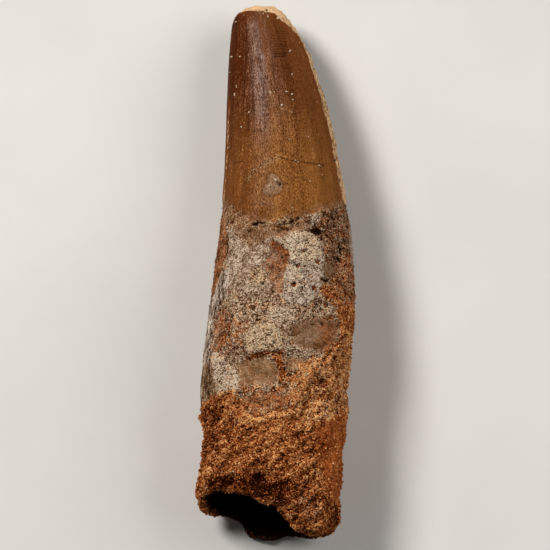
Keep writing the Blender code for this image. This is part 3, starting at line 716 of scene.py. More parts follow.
stone_skin.lay_patches(STONE_PATCHES, STONE_GROUND)
p = stone_skin.points
along_bed = np.stack([math.cos(BED_SLANT) * p[:, 0] + math.sin(BED_SLANT) * p[:, 1],
                      math.cos(BED_SLANT) * p[:, 1] - math.sin(BED_SLANT) * p[:, 0], p[:, 2]], axis=1)
bedded = along_bed * [0.42, 1.0, 1.0]
rows = 1.1 * waves(along_bed * [0.22, 1.0, 1.0], 1.3, 5.0) * (1.0 - stone_skin.bare)
lumps = 0.8 * waves(bedded, 2.4, 3.0) + 0.8 * waves(p, 5.5, 4.0) + rows
knobs = 0.6 - 1.9 * cells(bedded, 1.4, 6.0) + 0.6 * waves(p, 0.75, 9.0)
gaps = 1.0 - smoothstep(0.08, 0.34, cells(bedded + 0.5 * waves(p, 1.3, 8.0)[:, None], 2.3, 12.0))
gaps *= smoothstep(-0.30, 0.10, waves(p, 3.5, 13.0))
inner = 1.0 - stone_skin.outside
roughness = (1.0 - 0.85 * stone_skin.bare) * (1.0 - 0.5 * inner)
stone_height = 0.36 * lumps + 0.26 * knobs - 0.60 * gaps
over_root = smoothstep(-0.8, 1.2, stone_skin.inside(MIXED_SAND[-1]))
stone_skin.height += roughness * stone_height + stone_skin.thick * stone_skin.outside
stone_skin.height -= 0.25 * over_root * stone_skin.outside
# relief is painted light and shade: paler on the lumps, darker in the gaps.
stone_skin.relief = 1.7 * roughness * stone_height
stone_skin.move()
print(f"stone relief from {stone_skin.height.min():.2f} to {stone_skin.height.max():.2f} mm")

# %% Store what the sandstone's material needs
# Painted shade: the inside of the open end as seen through the mouth, its low faces and the far lip are
# painted dark.
mouth = smoothstep(-0.7, 0.7, distance_inside(in_picture(p), MOUTH) / PIXELS_PER_MM)
mouth *= smoothstep(-0.2, 0.1, stone_skin.normals @ camera_back)
low_face = smoothstep(14.0, 11.0, p[:, 2])
shade = np.maximum(smoothstep(2.0, 9.0, stone_skin.station) * inner, mouth * np.maximum(inner, low_face))
looks_out = smoothstep(0.2, -0.3, stone_skin.normals[:, 1])
far_lip = low_face * looks_out * smoothstep(11.0, 9.0, np.abs(p[:, 0] - 1.0))
shade = np.maximum(shade, 0.60 * far_lip)
stone_skin.keep_ground()
stone_skin.keep("shade", shade)
# The grains read this lightness, so the painted shade darkens them too.
stone_skin.light = stone_skin.light - 0.5 * shade
print("attributes on the sandstone:", len(stone.data.attributes))

# %% [markdown]
# ## Loose and half-set grains
#
# A grain is a sphere of twenty faces, squashed and turned at random. Thousands of them are joined into one
# mesh by array sums, which takes a moment, where thousands of objects would take minutes. Grains are drawn
# from the skin's triangles by lot, a larger or rougher triangle having more tickets, and each sits half sunk
# in the surface. Each takes its lightness and rust from the ground below, painted light and shade included,
# with luck of its own added, so that neighbours differ but a grain in a hollow is painted dark.

# %% A way to scatter grains
def grain_shape():
    """Corners and faces of the smallest round body, an icosahedron of radius 1."""
    ball = bmesh.new()
    bmesh.ops.create_icosphere(ball, subdivisions=1, radius=1.0)
    corners = np.array([v.co for v in ball.verts])
    faces = np.array([[v.index for v in face.verts] for face in ball.faces])
    ball.free()
    return corners, faces


def random_turns(count, chance):
    """Rotation matrices, every direction as likely as any other."""
    q = chance.normal(size=(count, 4))
    w, x, y, z = (q / np.linalg.norm(q, axis=1)[:, None]).T
    return np.array([
        [1 - 2 * (y * y + z * z), 2 * (x * y - z * w), 2 * (x * z + y * w)],
        [2 * (x * y + z * w), 1 - 2 * (x * x + z * z), 2 * (y * z - x * w)],
        [2 * (x * z - y * w), 2 * (y * z + x * w), 1 - 2 * (x * x + y * y)],
    ]).transpose(2, 0, 1)


def draw_places(skin, density, count, chance):
    """Points on a skin, and for each the number of a vertex beside it."""
    mesh = skin.piece.data
    mesh.calc_loop_triangles()
    corners = np.empty(len(mesh.loop_triangles) * 3, np.int32)
    mesh.loop_triangles.foreach_get("vertices", corners)
    corners = corners.reshape(-1, 3)
    a, b, c = (skin.points[corners[:, n]] for n in range(3))
    tickets = np.linalg.norm(np.cross(b - a, c - a), axis=1) * density[corners].mean(axis=1)
    drawn = chance.choice(len(corners), size=count, p=tickets / tickets.sum())
    share = chance.random((count, 2))
    share = np.where(share.sum(axis=1, keepdims=True) > 1.0, 1.0 - share, share)
    point = a[drawn] + share[:, :1] * (b - a)[drawn] + share[:, 1:] * (c - a)[drawn]
    return point, corners[drawn, 0]


def nearest_vertices(skin, spots):
    """The vertex that shows nearest to each spot of the picture, on the side that faces the camera."""
    facing = skin.normals @ camera_back > 0.1
    found = [np.argmin(distance_to_spot(skin.spots, spot) + 1000.0 * ~facing) for spot in spots]
    return skin.points[found], np.array(found)


def make_grains(name, skin, place, below, radius, sink, luck, seed, spread=0.11):
    """One mesh of many grains on a skin, at given places, with the skin's vertex below each."""
    chance = np.random.default_rng(seed)
    count = len(place)
    normal = numbers(skin.piece.data.vertex_normals, "vector", 3)[below].astype(float)
    stretch = chance.uniform(0.62, 1.2, (count, 1, 3))
    corners, faces = grain_shape()
    shape = corners[None] * (1.0 + chance.uniform(-0.2, 0.2, (count, len(corners), 1))) * stretch
    shape = np.einsum("nij,nkj->nki", random_turns(count, chance), shape) * radius[:, None, None]
    points = shape + (place + normal * (radius * (1.0 - sink))[:, None])[:, None]
    points[..., 2] = np.maximum(points[..., 2], FLOOR_GAP_MM)
    all_faces = faces[None] + (np.arange(count) * len(corners))[:, None, None]
    mesh = bpy.data.meshes.new(name)
    mesh.vertices.add(count * len(corners))
    mesh.vertices.foreach_set("co", (points * MM).astype(np.float32).ravel())
    mesh.loops.add(all_faces.size)
    mesh.loops.foreach_set("vertex_index", all_faces.astype(np.int32).ravel())
    mesh.polygons.add(count * len(faces))
    mesh.polygons.foreach_set("loop_start", np.arange(0, all_faces.size, 3, dtype=np.int32))
    mesh.update(calc_edges=True)
    mesh.shade_smooth()
    light_luck, rust_luck = luck
    # The ground's painted light and shade, from relief, carries over onto each grain.
    light = skin.light[below] + 0.35 * skin.relief[below] + chance.normal(light_luck, spread, count)
    rust = skin.rust[below] + chance.normal(rust_luck, 0.28, count)
    warm = np.clip(skin.warm[below] + chance.normal(0.0, 0.2, count), 0.0, 1.0)
    for label, values in (("light", light), ("rust", rust), ("warm", warm)):
        attribute = mesh.attributes.new(label, "FLOAT", "POINT")
        attribute.data.foreach_set("value", np.repeat(values, len(corners)).astype(np.float32))
    piece = bpy.data.objects.new(name, mesh)
    bpy.context.scene.collection.objects.link(piece)
    print(f"{name}: {count} grains, {len(mesh.polygons)} triangles")
    return piece


def scatter_grains(name, skin, density, count, sizes, sink, luck, seed, spread):
    """Grains drawn by lot. Small ones are more common than large ones."""
    chance = np.random.default_rng(seed)
    place, below = draw_places(skin, density + 1e-7, count, chance)
    radius = sizes[0] + (sizes[1] - sizes[0]) * chance.random(count) ** 1.8
    return make_grains(name, skin, place, below, radius, sink, luck, seed + 1, spread)


# %% [markdown]
# ## Sand on the stone, crumbs on the root
#
# The stone's grains are medium sand, 0.2 to 0.7 mm across. They lie thick on the outside and on the broken
# rim, thin on the rubbed flank, and not in the gaps, which should stay dark. The same sand has run over the
# stone's edge onto the root. Crumbs of lime are smaller, and lie on the crusts. A few specks are stuck to the
# enamel too: the larger ones are three grains each, at a place of their own, and finer ones lie about between
# them.

# %% Scatter the sand
STONE_GRAINS, STONE_GRAIN_MM, STONE_SINK = 9700, (0.10, 0.28), 0.62

off_floor = smoothstep(0.3, 1.5, stone_skin.points[:, 2])
shows = np.maximum(stone_skin.outside, smoothstep(4.0, 0.5, stone_skin.station - 3.0))
stone_density = shows * off_floor * (1.0 - 0.8 * stone_skin.bare) * (1.0 - 0.9 * gaps) * (1.0 - shade)
sand = scatter_grains("sand_grains", stone_skin, stone_density, STONE_GRAINS, STONE_GRAIN_MM, STONE_SINK,
                      (0.05, 0.0), seed=11, spread=0.20)

# %% Scatter the sand and the lime on the root
SAND_ON_ROOT, SAND_ON_ROOT_MM = 5200, (0.07, 0.22)
CRUMBS, CRUMB_MM = 5600, (0.07, 0.20)
STRAY_SPECKS = 60
SPECK_SHARES = (0.85, 0.6, 0.5)
ENAMEL_SPECKS = [
    (232.5, 57.5, 0.30), (241, 56, 0.26), (237.3, 86.5, 0.26), (235, 94.7, 0.24), (289.2, 51.3, 0.32),
    (285.6, 92.7, 0.30), (291.8, 93.7, 0.30), (281.9, 106.6, 0.32), (281, 110, 0.22), (277.8, 19.6, 0.34),
    (263.3, 14.7, 0.20), (267.5, 17.2, 0.22), (231, 73, 0.16), (237, 23, 0.22), (291, 74.6, 0.20),
    (269.5, 92.2, 0.26), (275.7, 92, 0.18), (291, 113, 0.18), (266, 130, 0.20), (243, 127, 0.22),
    (290, 139, 0.16), (229, 148, 0.22), (310, 181, 0.18), (292, 208, 0.20), (262, 204, 0.16),
    (295, 160.5, 0.22), (298, 162, 0.18), (318, 167, 0.24), (266, 166, 0.20), (254, 171, 0.18),
    (249, 111, 0.24), (293, 100, 0.18), (260, 116, 0.18), (276, 182, 0.42), (270, 187, 0.25),
    (315, 216, 0.26), (317, 221, 0.22), (322, 229, 0.26), (320, 233, 0.24), (313, 224, 0.20),
]

off_floor = smoothstep(0.3, 1.5, tooth_skin.points[:, 2])
on_outside = on_root * tooth_skin.outside * off_floor * (tooth_skin.station > 20.0)
rough_ground = on_outside * (1.0 - 0.9 * tooth_skin.bare) * (1.0 - 0.9 * np.clip(pits, 0.0, 1.0))
root_sand = scatter_grains("sand_on_root", tooth_skin, rough_ground * smoothstep(0.15, 0.8, tooth_skin.rust),
                           SAND_ON_ROOT, SAND_ON_ROOT_MM, 0.65, (0.05, 0.0), seed=23, spread=0.16)
crumbs = scatter_grains("lime_crumbs", tooth_skin, rough_ground * smoothstep(0.42, 0.70, tooth_skin.light),
                        CRUMBS, CRUMB_MM, 0.66, (0.06, -0.1), seed=37, spread=0.14)
chance = np.random.default_rng(53)
on_enamel = (1.0 - on_root) * (1.0 - dentine_share) * tooth_skin.outside * off_floor
place, below = draw_places(tooth_skin, on_enamel + 1e-9, STRAY_SPECKS, chance)
*named_spots, named_size = np.array(ENAMEL_SPECKS).T
named_place, named_below = nearest_vertices(tooth_skin, np.stack(named_spots, axis=1))
named_place = np.concatenate([named_place + chance.normal(0.0, 0.5, named_place.shape) * named_size[:, None]
                              for _ in SPECK_SHARES])
named_below = np.tile(named_below, len(SPECK_SHARES))
named_size = np.concatenate([share * named_size for share in SPECK_SHARES])
specks_piece = make_grains("lime_specks", tooth_skin, np.concatenate([named_place, place]),
                           np.concatenate([named_below, below]),
                           np.concatenate([named_size, chance.uniform(0.06, 0.13, len(place))]),
                           0.60, (0.50, -0.8), seed=59)

# %% [markdown]
# ## Tools for materials
#
# A material is a small machine of nodes. These helpers place a node and plug its inputs in one line, so that
# the recipes below read from top to bottom. `paint` turns the numbers of a colour picker, 0 to 255, into the
# linear light that a shader works with.

# %% Place nodes in one line
def paint(red, green, blue):
    """A colour picker's numbers as linear light."""
    share = np.array([red, green, blue]) / 255.0
    linear = np.where(share <= 0.04045, share / 12.92, ((share + 0.055) / 1.055) ** 2.4)
    return (*linear.tolist(), 1.0)


def plug(tree, socket, value):
    """Links a socket, or sets a plain number or colour."""
    if isinstance(value, bpy.types.NodeSocket):
        tree.links.new(value, socket)
    else:
        socket.default_value = value


def put(tree, kind, inputs=None, **settings):
    """A new node with its settings and inputs. Inputs go by name or by number."""
    made = tree.nodes.new(kind)
    for name, value in settings.items():
        setattr(made, name, value)
    for name, value in (inputs or {}).items():
        plug(tree, made.inputs[name], value)
    return made


def sum_of(tree, operation, a, b=0.0):
    """One step of arithmetic."""
    return put(tree, "ShaderNodeMath", {0: a, 1: b}, operation=operation).outputs[0]


def times(tree, *factors):
    """The product of several numbers."""
    total = factors[0]
    for factor in factors[1:]:
        total = sum_of(tree, "MULTIPLY", total, factor)
    return total


def rest_of(tree, share):
    """What is left of 1."""
    return sum_of(tree, "SUBTRACT", 1.0, share)


def add(tree, *terms):
    """The sum of several numbers, or of (number, weight) pairs."""
    total = None
    for term in terms:
        value = sum_of(tree, "MULTIPLY", *term) if isinstance(term, tuple) else term
        total = value if total is None else sum_of(tree, "ADD", total, value)
    return total


def blend(tree, share, a, b, way="MIX"):
    """Colour a where share is 0 and colour b where it is 1."""
    made = put(tree, "ShaderNodeMix", {0: share, 6: a, 7: b}, data_type="RGBA", blend_type=way)
    return made.outputs[2]


def mixed(tree, share, a, b):
    """A number: a where share is 0 and b where it is 1."""
    return put(tree, "ShaderNodeMix", {0: share, 2: a, 3: b}, data_type="FLOAT").outputs[0]


def ramp_between(tree, value, low, high, start=0.0, end=1.0):
    """A value spread over a range, with an even curve at both ends."""
    inputs = {"Value": value, "From Min": low, "From Max": high, "To Min": start, "To Max": end}
    return put(tree, "ShaderNodeMapRange", inputs, interpolation_type="SMOOTHSTEP").outputs[0]


def colours_along(tree, value, stops):
    """A colour ramp. stops are (position, colour) pairs."""
    made = put(tree, "ShaderNodeValToRGB", {"Fac": value})
    for position, colour in stops[2:]:
        made.color_ramp.elements.new(position)
    for element, (position, colour) in zip(made.color_ramp.elements, stops):
        element.position = position
        element.color = colour
    return made.outputs[0]


def fine_noise(tree, place, scale, detail=2.0, roughness=0.55):
    """Noise with its middle moved to 0, so that it can be added to a number without shifting it."""
    inputs = {"Vector": place, "Scale": scale, "Detail": detail, "Roughness": roughness}
    return sum_of(tree, "SUBTRACT", put(tree, "ShaderNodeTexNoise", inputs).outputs["Fac"], 0.5)


def squeezed(tree, place, across, along):
    """A place to read noise at. A small number for along draws the noise out that way."""
    scale = (across, along, across)
    return put(tree, "ShaderNodeVectorMath", {0: place, 1: scale}, operation="MULTIPLY").outputs[0]


def stored(tree, name, output="Fac"):
    """A number that was kept on the mesh."""
    return put(tree, "ShaderNodeAttribute", attribute_name=name, attribute_type="GEOMETRY").outputs[output]


def new_group(name, inputs, outputs):
    """A node group with named sockets. Returns it with its inner input and output nodes."""
    group = bpy.data.node_groups.new(name, "ShaderNodeTree")
    for label, kind, value in inputs:
        socket = group.interface.new_socket(label, in_out="INPUT", socket_type=kind)
        if value is not None:
            socket.default_value = value
    for label, kind in outputs:
        group.interface.new_socket(label, in_out="OUTPUT", socket_type=kind)
    return group, group.nodes.new("NodeGroupInput").outputs, group.nodes.new("NodeGroupOutput").inputs


def use_group(tree, group, **inputs):
    """A group placed in a material, with its own values. Spaces in socket names are written as _."""
    made = tree.nodes.new("ShaderNodeGroup")
    made.node_tree = group
    for name, value in inputs.items():
        plug(tree, made.inputs[name.replace("_", " ")], value)
    return made.outputs


NUMBER, COLOUR, VECTOR = "NodeSocketFloat", "NodeSocketColor", "NodeSocketVector"

# %% [markdown]
# ## Shared effect: the colours of lime and of rust
#
# Everything that isn't enamel runs along one of two colour scales, from black-brown to cream: one through the
# taupe of old dentine and lime, the other through the orange of rusty sand. A point has a lightness, which
# says how far along it is, and a share of rust, which says which scale. `Warm` turns lime from bluish to
# yellow.

# %% Group: ground colours
ground_colours, into, out = new_group(
    "ground colours", [("Light", NUMBER, 0.5), ("Rust", NUMBER, 0.0), ("Warm", NUMBER, 0.5)],
    [("Color", COLOUR)]
)
lime = colours_along(ground_colours, into["Light"], [
    (0.0, paint(34, 17, 8)), (0.2, paint(80, 51, 28)), (0.42, paint(118, 88, 65)),
    (0.65, paint(158, 131, 110)),
    (0.97, paint(214, 193, 168))])
rusty = colours_along(ground_colours, into["Light"], [
    (0.0, paint(34, 8, 0)), (0.2, paint(94, 40, 9)), (0.42, paint(148, 76, 34)), (0.65, paint(192, 114, 60)),
    (0.97, paint(240, 180, 116))])
tone = blend(ground_colours, into["Warm"], (0.95, 0.99, 1.08, 1.0), (1.06, 0.99, 0.80, 1.0))
lime = blend(ground_colours, 1.0, lime, tone, "MULTIPLY")
plug(ground_colours, out["Color"], blend(ground_colours, into["Rust"], lime, rusty))
print("ground colours:", len(ground_colours.nodes), "nodes")

# %% [markdown]
# ## Shared effect: lengthwise streaks
#
# Enamel and old dentine grow in long fibres. We read noise at the squeezed places that the mesh carries, once
# broad and once fine, and add them. The result goes to colour, to roughness and to height. `Broad` gives wide
# bands and `Hair` single dark hairlines, and both are drawn out even longer.

# %% Group: streaks
streaks, into, out = new_group(
    "lengthwise streaks", [("Lengthwise", VECTOR, None), ("Fineness", NUMBER, 1.0)],
    [("Streak", NUMBER), ("Broad", NUMBER), ("Hair", NUMBER)],
)
broad = fine_noise(streaks, into["Lengthwise"], times(streaks, into["Fineness"], 0.45), 2.0, 0.5)
thin = fine_noise(streaks, into["Lengthwise"], times(streaks, into["Fineness"], 1.9), 3.0, 0.7)
longer = squeezed(streaks, into["Lengthwise"], 1.0, 0.3)
hair = fine_noise(streaks, longer, times(streaks, into["Fineness"], 1.5), 2.0, 0.6)
plug(streaks, out["Streak"], add(streaks, (thin, 0.8), (broad, 0.35)))
plug(streaks, out["Broad"], fine_noise(streaks, longer, 0.32, 2.0, 0.6))
plug(streaks, out["Hair"], ramp_between(streaks, hair, -0.10, -0.20))
print("streaks:", len(streaks.nodes), "nodes")

# %% [markdown]
# ## Shared effect: weathered ground
#
# The root and the sandstone differ in their numbers only, so one group paints both. It starts with the
# lightness that the patches gave, and adds unevenness of every size: clouds of some millimetres, clumps of
# one millimetre, and grains, with painted shade in the gaps between the grains. The stored relief adds
# painted light where the skin stands proud and painted shade in its hollows. On the root come wandering pale
# threads like worm casts, and a few dark holes, which the stone hardly has. A bare patch lowers all of it,
# and light ground gets more of it than dark. The share of rust is roughened too and then cut, so that sand
# and lime mix as crumbs of each, not as a blur of both.

# %% Group: weathered ground
weathered_ground, into, out = new_group(
    "weathered ground",
    [("Place", VECTOR, None), ("Lengthwise", VECTOR, None), ("Light", NUMBER, 0.5), ("Rust", NUMBER, 0.0),
     ("Bare", NUMBER, 0.0), ("Warm", NUMBER, 0.5), ("Streaky", NUMBER, 0.0), ("Relief", NUMBER, 0.0),
     ("Contrast", NUMBER, 1.0), ("Grain Size", NUMBER, 0.5), ("Threads", NUMBER, 1.0)],
    [("Color", COLOUR), ("Height", NUMBER)],
)
tree, place = weathered_ground, into["Place"]
clouds = fine_noise(tree, place, 0.30, 2.0, 0.5)
clumps = fine_noise(tree, place, 0.95, 3.0, 0.6)
crumbs_noise = fine_noise(tree, place, 2.3, 2.0, 0.6)
sugar = fine_noise(tree, place, 3.7, 1.0, 0.6)
wide_thread = ramp_between(tree, sum_of(tree, "ABSOLUTE", fine_noise(tree, place, 0.95, 2.0)), 0.07, 0.0)
thin_thread = ramp_between(tree, sum_of(tree, "ABSOLUTE", fine_noise(tree, place, 1.9, 1.0)), 0.09, 0.0)
scale = sum_of(tree, "DIVIDE", 1.0, into["Grain Size"])
grain = put(tree, "ShaderNodeTexVoronoi", {"Vector": place, "Scale": scale})
lot = put(tree, "ShaderNodeSeparateColor", {0: grain.outputs["Color"]})
grain_light = sum_of(tree, "SUBTRACT", lot.outputs[0], 0.5)
# Painted shade: the gaps between the grains are painted darker.
gap = ramp_between(tree, grain.outputs["Distance"], 0.40, 0.80)
hole = put(tree, "ShaderNodeTexVoronoi", {"Vector": place, "Scale": 0.95}).outputs["Distance"]
hole = ramp_between(tree, add(tree, hole, (crumbs_noise, 0.25)), 0.24, 0.10)
hole = times(tree, hole, ramp_between(tree, clumps, -0.02, 0.10))
streak = use_group(tree, streaks, Lengthwise=into["Lengthwise"], Fineness=1.3)
uneven = add(tree, (clumps, 1.5), (crumbs_noise, 1.3), (sugar, 2.3))
granular = add(tree, uneven, (grain_light, 0.34), (gap, -0.36), 0.10)
heaped = add(tree, (clumps, 1.15), (crumbs_noise, 1.3), (sugar, 2.1))
crusted = add(tree, (heaped, 1.05), (wide_thread, 0.24), (thin_thread, 0.36), (hole, -0.12), -0.20)
crumbly = mixed(tree, into["Threads"], granular, crusted)
fibrous = add(tree, (streak["Streak"], 5.6), (streak["Hair"], -0.40), (sugar, 2.0))
even = mixed(tree, into["Streaky"], crumbly, fibrous)
calm = times(tree, into["Contrast"], rest_of(tree, times(tree, into["Bare"], 0.82)))
lively = times(tree, calm, ramp_between(tree, into["Light"], 0.58, 0.80, 0.90, 1.40))
# Relief adds painted light where the skin stands proud and painted shade in its hollows.
light = add(tree, into["Light"], (clouds, 0.60), (even, lively), (into["Relief"], 0.35))
rust_noise = add(tree, (fine_noise(tree, place, 0.8, 2.0, 0.6), 1.5),
                 (sum_of(tree, "SUBTRACT", lot.outputs[1], 0.5), 0.7))
rust = add(tree, (into["Rust"], 1.5), (rust_noise, calm))
rust = ramp_between(tree, rust, 0.25, 1.25)
ground = use_group(tree, ground_colours, Light=light, Rust=rust, Warm=into["Warm"])
plug(tree, out["Color"], ground["Color"])
plug(tree, out["Height"], add(tree, (times(tree, even, calm), 0.6), (clumps, 0.5)))
print("weathered ground:", len(weathered_ground.nodes), "nodes")

# %% [markdown]
# ## Shared effect: a ragged edge
#
# It takes a stored distance in millimetres, pushes it in and out by two sizes of noise, and cuts it softly.
# The enamel's foot, its worn border and the scab get their edges from it.

# %% Group: ragged edge
ragged_edge, into, out = new_group(
    "ragged edge",
    [("Distance", NUMBER, 0.0), ("Place", VECTOR, None), ("Raggedness", NUMBER, 0.8),
     ("Softness", NUMBER, 0.3)],
    [("Mask", NUMBER)],
)
push = add(ragged_edge, (fine_noise(ragged_edge, into["Place"], 0.55, 1.0), 1.6),
           (fine_noise(ragged_edge, into["Place"], 1.9, 3.0, 0.7), 2.6))
pushed = add(ragged_edge, into["Distance"], (push, into["Raggedness"]))
cut = sum_of(ragged_edge, "DIVIDE", pushed, into["Softness"])
plug(ragged_edge, out["Mask"], ramp_between(ragged_edge, cut, -1.0, 1.0))
print("ragged edge:", len(ragged_edge.nodes), "nodes")

# %% [markdown]
# ## Shared effect: specks
#
# Small dots far apart: pores in the dentine, dark grains. The points of a Voronoi texture are the dots, and a
# lottery among the cells leaves most of them out.

# %% Group: specks
specks, into, out = new_group(
    "specks",
    [("Place", VECTOR, None), ("Spacing", NUMBER, 3.0), ("Size", NUMBER, 0.25), ("Share", NUMBER, 0.5)],
    [("Mask", NUMBER)],
)
scale = sum_of(specks, "DIVIDE", 1.0, into["Spacing"])
dots = put(specks, "ShaderNodeTexVoronoi", {"Vector": into["Place"], "Scale": scale})
reach = times(specks, dots.outputs["Distance"], into["Spacing"])
dot = ramp_between(specks, sum_of(specks, "DIVIDE", reach, into["Size"]), 1.0, 0.5)
lot = put(specks, "ShaderNodeSeparateColor", {0: dots.outputs["Color"]}).outputs[0]
chosen = sum_of(specks, "LESS_THAN", lot, into["Share"])
plug(specks, out["Mask"], times(specks, dot, chosen))
print("specks:", len(specks.nodes), "nodes")


# %% [markdown]
# ## A material to start from
#
# Each material begins with a Principled shader, an output, and the place of the point in millimetres.

# %% Start a material
def new_material(name, roughness=0.6, specular=0.5):
    """A material with its tree, its shader and the place on the piece in millimetres."""
    material = bpy.data.materials.new(name)
    material.use_nodes = True
    tree = material.node_tree
    shader = tree.nodes["Principled BSDF"]
    shader.inputs["Roughness"].default_value = roughness
    shader.inputs["Specular IOR Level"].default_value = specular
    where = put(tree, "ShaderNodeTexCoord").outputs["Object"]
    return material, tree, shader, squeezed(tree, where, 1.0 / MM, 1.0 / MM)


def finish_material(tree, shader, colour, height, distance_mm, roughness=None, strength=1.0):
    """Plugs the last colour and height into the shader."""
    plug(tree, shader.inputs["Base Color"], colour)
    bump = put(tree, "ShaderNodeBump", {"Height": height, "Distance": distance_mm * MM, "Strength": strength})
    plug(tree, shader.inputs["Normal"], bump.outputs[0])
    if roughness is not None:
        plug(tree, shader.inputs["Roughness"], roughness)


def put_ground(tree, place, contrast, grain_size, threads):
    """The weathered ground with the numbers stored on the piece."""
    lengthwise = stored(tree, "lengthwise", "Vector")
    ground_numbers = {name.title(): stored(tree, name) for name in GROUND_NUMBERS}
    return use_group(tree, weathered_ground, Place=place, Lengthwise=lengthwise, **ground_numbers,
                     Contrast=contrast, Grain_Size=grain_size, Threads=threads)


# %% [markdown]
# ## The tooth's material
#
# It is built from the bottom up, in the order in which the real layers lie: the weathered root first, then
# the enamel, which lies over everything on the crown, and last the bare dentine where the enamel has gone.

# %% Tooth: ground
tooth_material, tree, shader, place = new_material("weathered_tooth", specular=0.02)
root = put_ground(tree, place, contrast=1.15, grain_size=0.55, threads=1.0)

# %% [markdown]
# ## Enamel
#
# The crown is chestnut brown. It is darkest and reddest on the concave side, and turns to amber towards the
# root. Three things are drawn on it: wide soft bands along the tooth, hairlines, and a fine grain like orange
# peel, a little drawn out, which is strongest in the middle of the lower crown. Near the tip there are
# ripples across it. The scab and the crack are laid over that, and the bare dentine is a cream of its own,
# blotched lengthwise.

# %% Tooth: enamel
RIPPLE_MM = 0.62

lengthwise = stored(tree, "lengthwise", "Vector")
streak = use_group(tree, streaks, Lengthwise=lengthwise, Fineness=1.3)
crown_up = stored(tree, "crown_up")
leftward = stored(tree, "leftward")
mottle = fine_noise(tree, place, 0.9, 4.0, 0.65)
upright = squeezed(tree, place, 1.0, 0.45)
flecks = fine_noise(tree, upright, 4.6, 1.0, 0.6)
low_on_crown = ramp_between(tree, crown_up, 0.62, 0.12)
grainy = times(tree, ramp_between(tree, crown_up, 0.90, 0.45), ramp_between(tree, leftward, -0.75, -0.15),
               ramp_between(tree, leftward, 0.85, 0.35, 0.3, 1.0))
grainy = add(tree, 0.45, (grainy, 0.65))
convex = blend(tree, low_on_crown, paint(99, 55, 24), paint(124, 76, 33))
concave = blend(tree, low_on_crown, paint(76, 33, 6), paint(114, 65, 27))
enamel_colour = blend(tree, ramp_between(tree, leftward, 0.20, 0.80), convex, concave)
tone = add(tree, (streak["Broad"], 1.2), (streak["Streak"], 1.6), (times(tree, flecks, grainy), 3.0),
           (mottle, 0.35), -0.05)
beside = sum_of(tree, "ABSOLUTE", sum_of(tree, "ADD", leftward, 0.30))
beside = times(tree, ramp_between(tree, beside, 0.35, 0.05), ramp_between(tree, crown_up, 0.30, 0.55),
               ramp_between(tree, crown_up, 0.92, 0.72))
tone = add(tree, tone, (beside, -0.26))
enamel_colour = blend(tree, times(tree, ramp_between(tree, tone, 0.0, 0.7), 0.70), enamel_colour,
                      blend(tree, low_on_crown, paint(160, 110, 74), paint(178, 120, 66)))
dark_hair = times(tree, streak["Hair"], ramp_between(tree, leftward, 0.0, 0.6))
dark_tone = add(tree, (ramp_between(tree, tone, 0.0, -0.7), 0.75), (dark_hair, 0.4))
enamel_colour = blend(tree, dark_tone, enamel_colour, paint(44, 16, 2))
station = put(tree, "ShaderNodeSeparateXYZ", {0: place}).outputs[1]
ring = sum_of(tree, "SINE", add(tree, (station, 2.0 * math.pi / RIPPLE_MM), (mottle, 7.0)))
ring = times(tree, ring, stored(tree, "ringed"))
line_noise = ramp_between(tree, add(tree, mottle, flecks), -0.25, -0.02)
hairline = times(tree, ramp_between(tree, stored(tree, "hairline"), 0.24, 0.06), line_noise)
drawn = add(tree, (ramp_between(tree, ring, 0.0, 0.9), 0.55), (hairline, 0.75))
enamel_colour = blend(tree, drawn, enamel_colour, paint(46, 18, 4))
worn_rim = ramp_between(tree, stored(tree, "dentine"), -1.5, -0.2)
enamel_colour = blend(tree, times(tree, worn_rim, 0.45), enamel_colour, paint(112, 55, 14))

# %% Tooth: the scab and the crack
scab_mask = use_group(tree, ragged_edge, Distance=stored(tree, "scab"), Place=place, Raggedness=0.14,
                      Softness=0.14)["Mask"]
scab_colour = blend(tree, ramp_between(tree, add(tree, flecks, mottle), -0.30, 0.30), paint(108, 76, 52),
                    paint(164, 130, 102))
# Painted shade: a dark ring round the scab's edge.
scab_rim_shade = ramp_between(tree, sum_of(tree, "ABSOLUTE", add(tree, stored(tree, "scab"), 0.15)), 0.35, 0.05)
enamel_colour = blend(tree, times(tree, scab_rim_shade, 0.35), enamel_colour, paint(52, 24, 8))
enamel_colour = blend(tree, times(tree, scab_mask, 0.85), enamel_colour, scab_colour)
crack_line = ramp_between(tree, add(tree, stored(tree, "crack"), (flecks, 0.25)), 0.26, 0.05)
old_line = ramp_between(tree, add(tree, stored(tree, "old_crack"), (flecks, 1.0)), 0.30, 0.05)
crack_line = add(tree, (crack_line, 1.0), (times(tree, old_line, line_noise), 0.55))
near_crack = ramp_between(tree, add(tree, stored(tree, "old_crack"), (flecks, 3.0), (mottle, 2.0)), 1.1, 0.2)
near_crack = times(tree, near_crack, ramp_between(tree, flecks, -0.04, 0.08))
enamel_colour = blend(tree, times(tree, near_crack, 0.55), enamel_colour, paint(186, 148, 108))
enamel_colour = blend(tree, times(tree, crack_line, 0.60), enamel_colour, paint(40, 16, 3))
enamel_height = add(tree, (streak["Streak"], 0.5), (times(tree, flecks, grainy), 1.3), (ring, 0.10),
                    (crack_line, -1.0))

# %% Tooth: bare dentine
blotches = add(tree, flecks, mottle, (streak["Streak"], 1.4))
dentine_colour = blend(tree, ramp_between(tree, blotches, -0.20, 0.14), paint(116, 76, 46),
                       paint(220, 180, 134))
towards_tip = ramp_between(tree, crown_up, 0.84, 0.97)
dentine_colour = blend(tree, times(tree, towards_tip, 0.70), dentine_colour, paint(228, 188, 144))
pore = use_group(tree, specks, Place=place, Spacing=2.0, Size=0.26, Share=0.5)["Mask"]
dentine_colour = blend(tree, pore, dentine_colour, paint(44, 22, 10))

# %% [markdown]
# ## Polish
#
# Enamel keeps a polish where it was rubbed, and loses it on the flanks and low down. The shader's coat layer
# is made for that: a thin clear gloss over the colour, with a weight that can be painted. The grain and the
# fibres break the weight up, so the highlight comes out as a soft grey, granular band. The root has no polish
# at all.

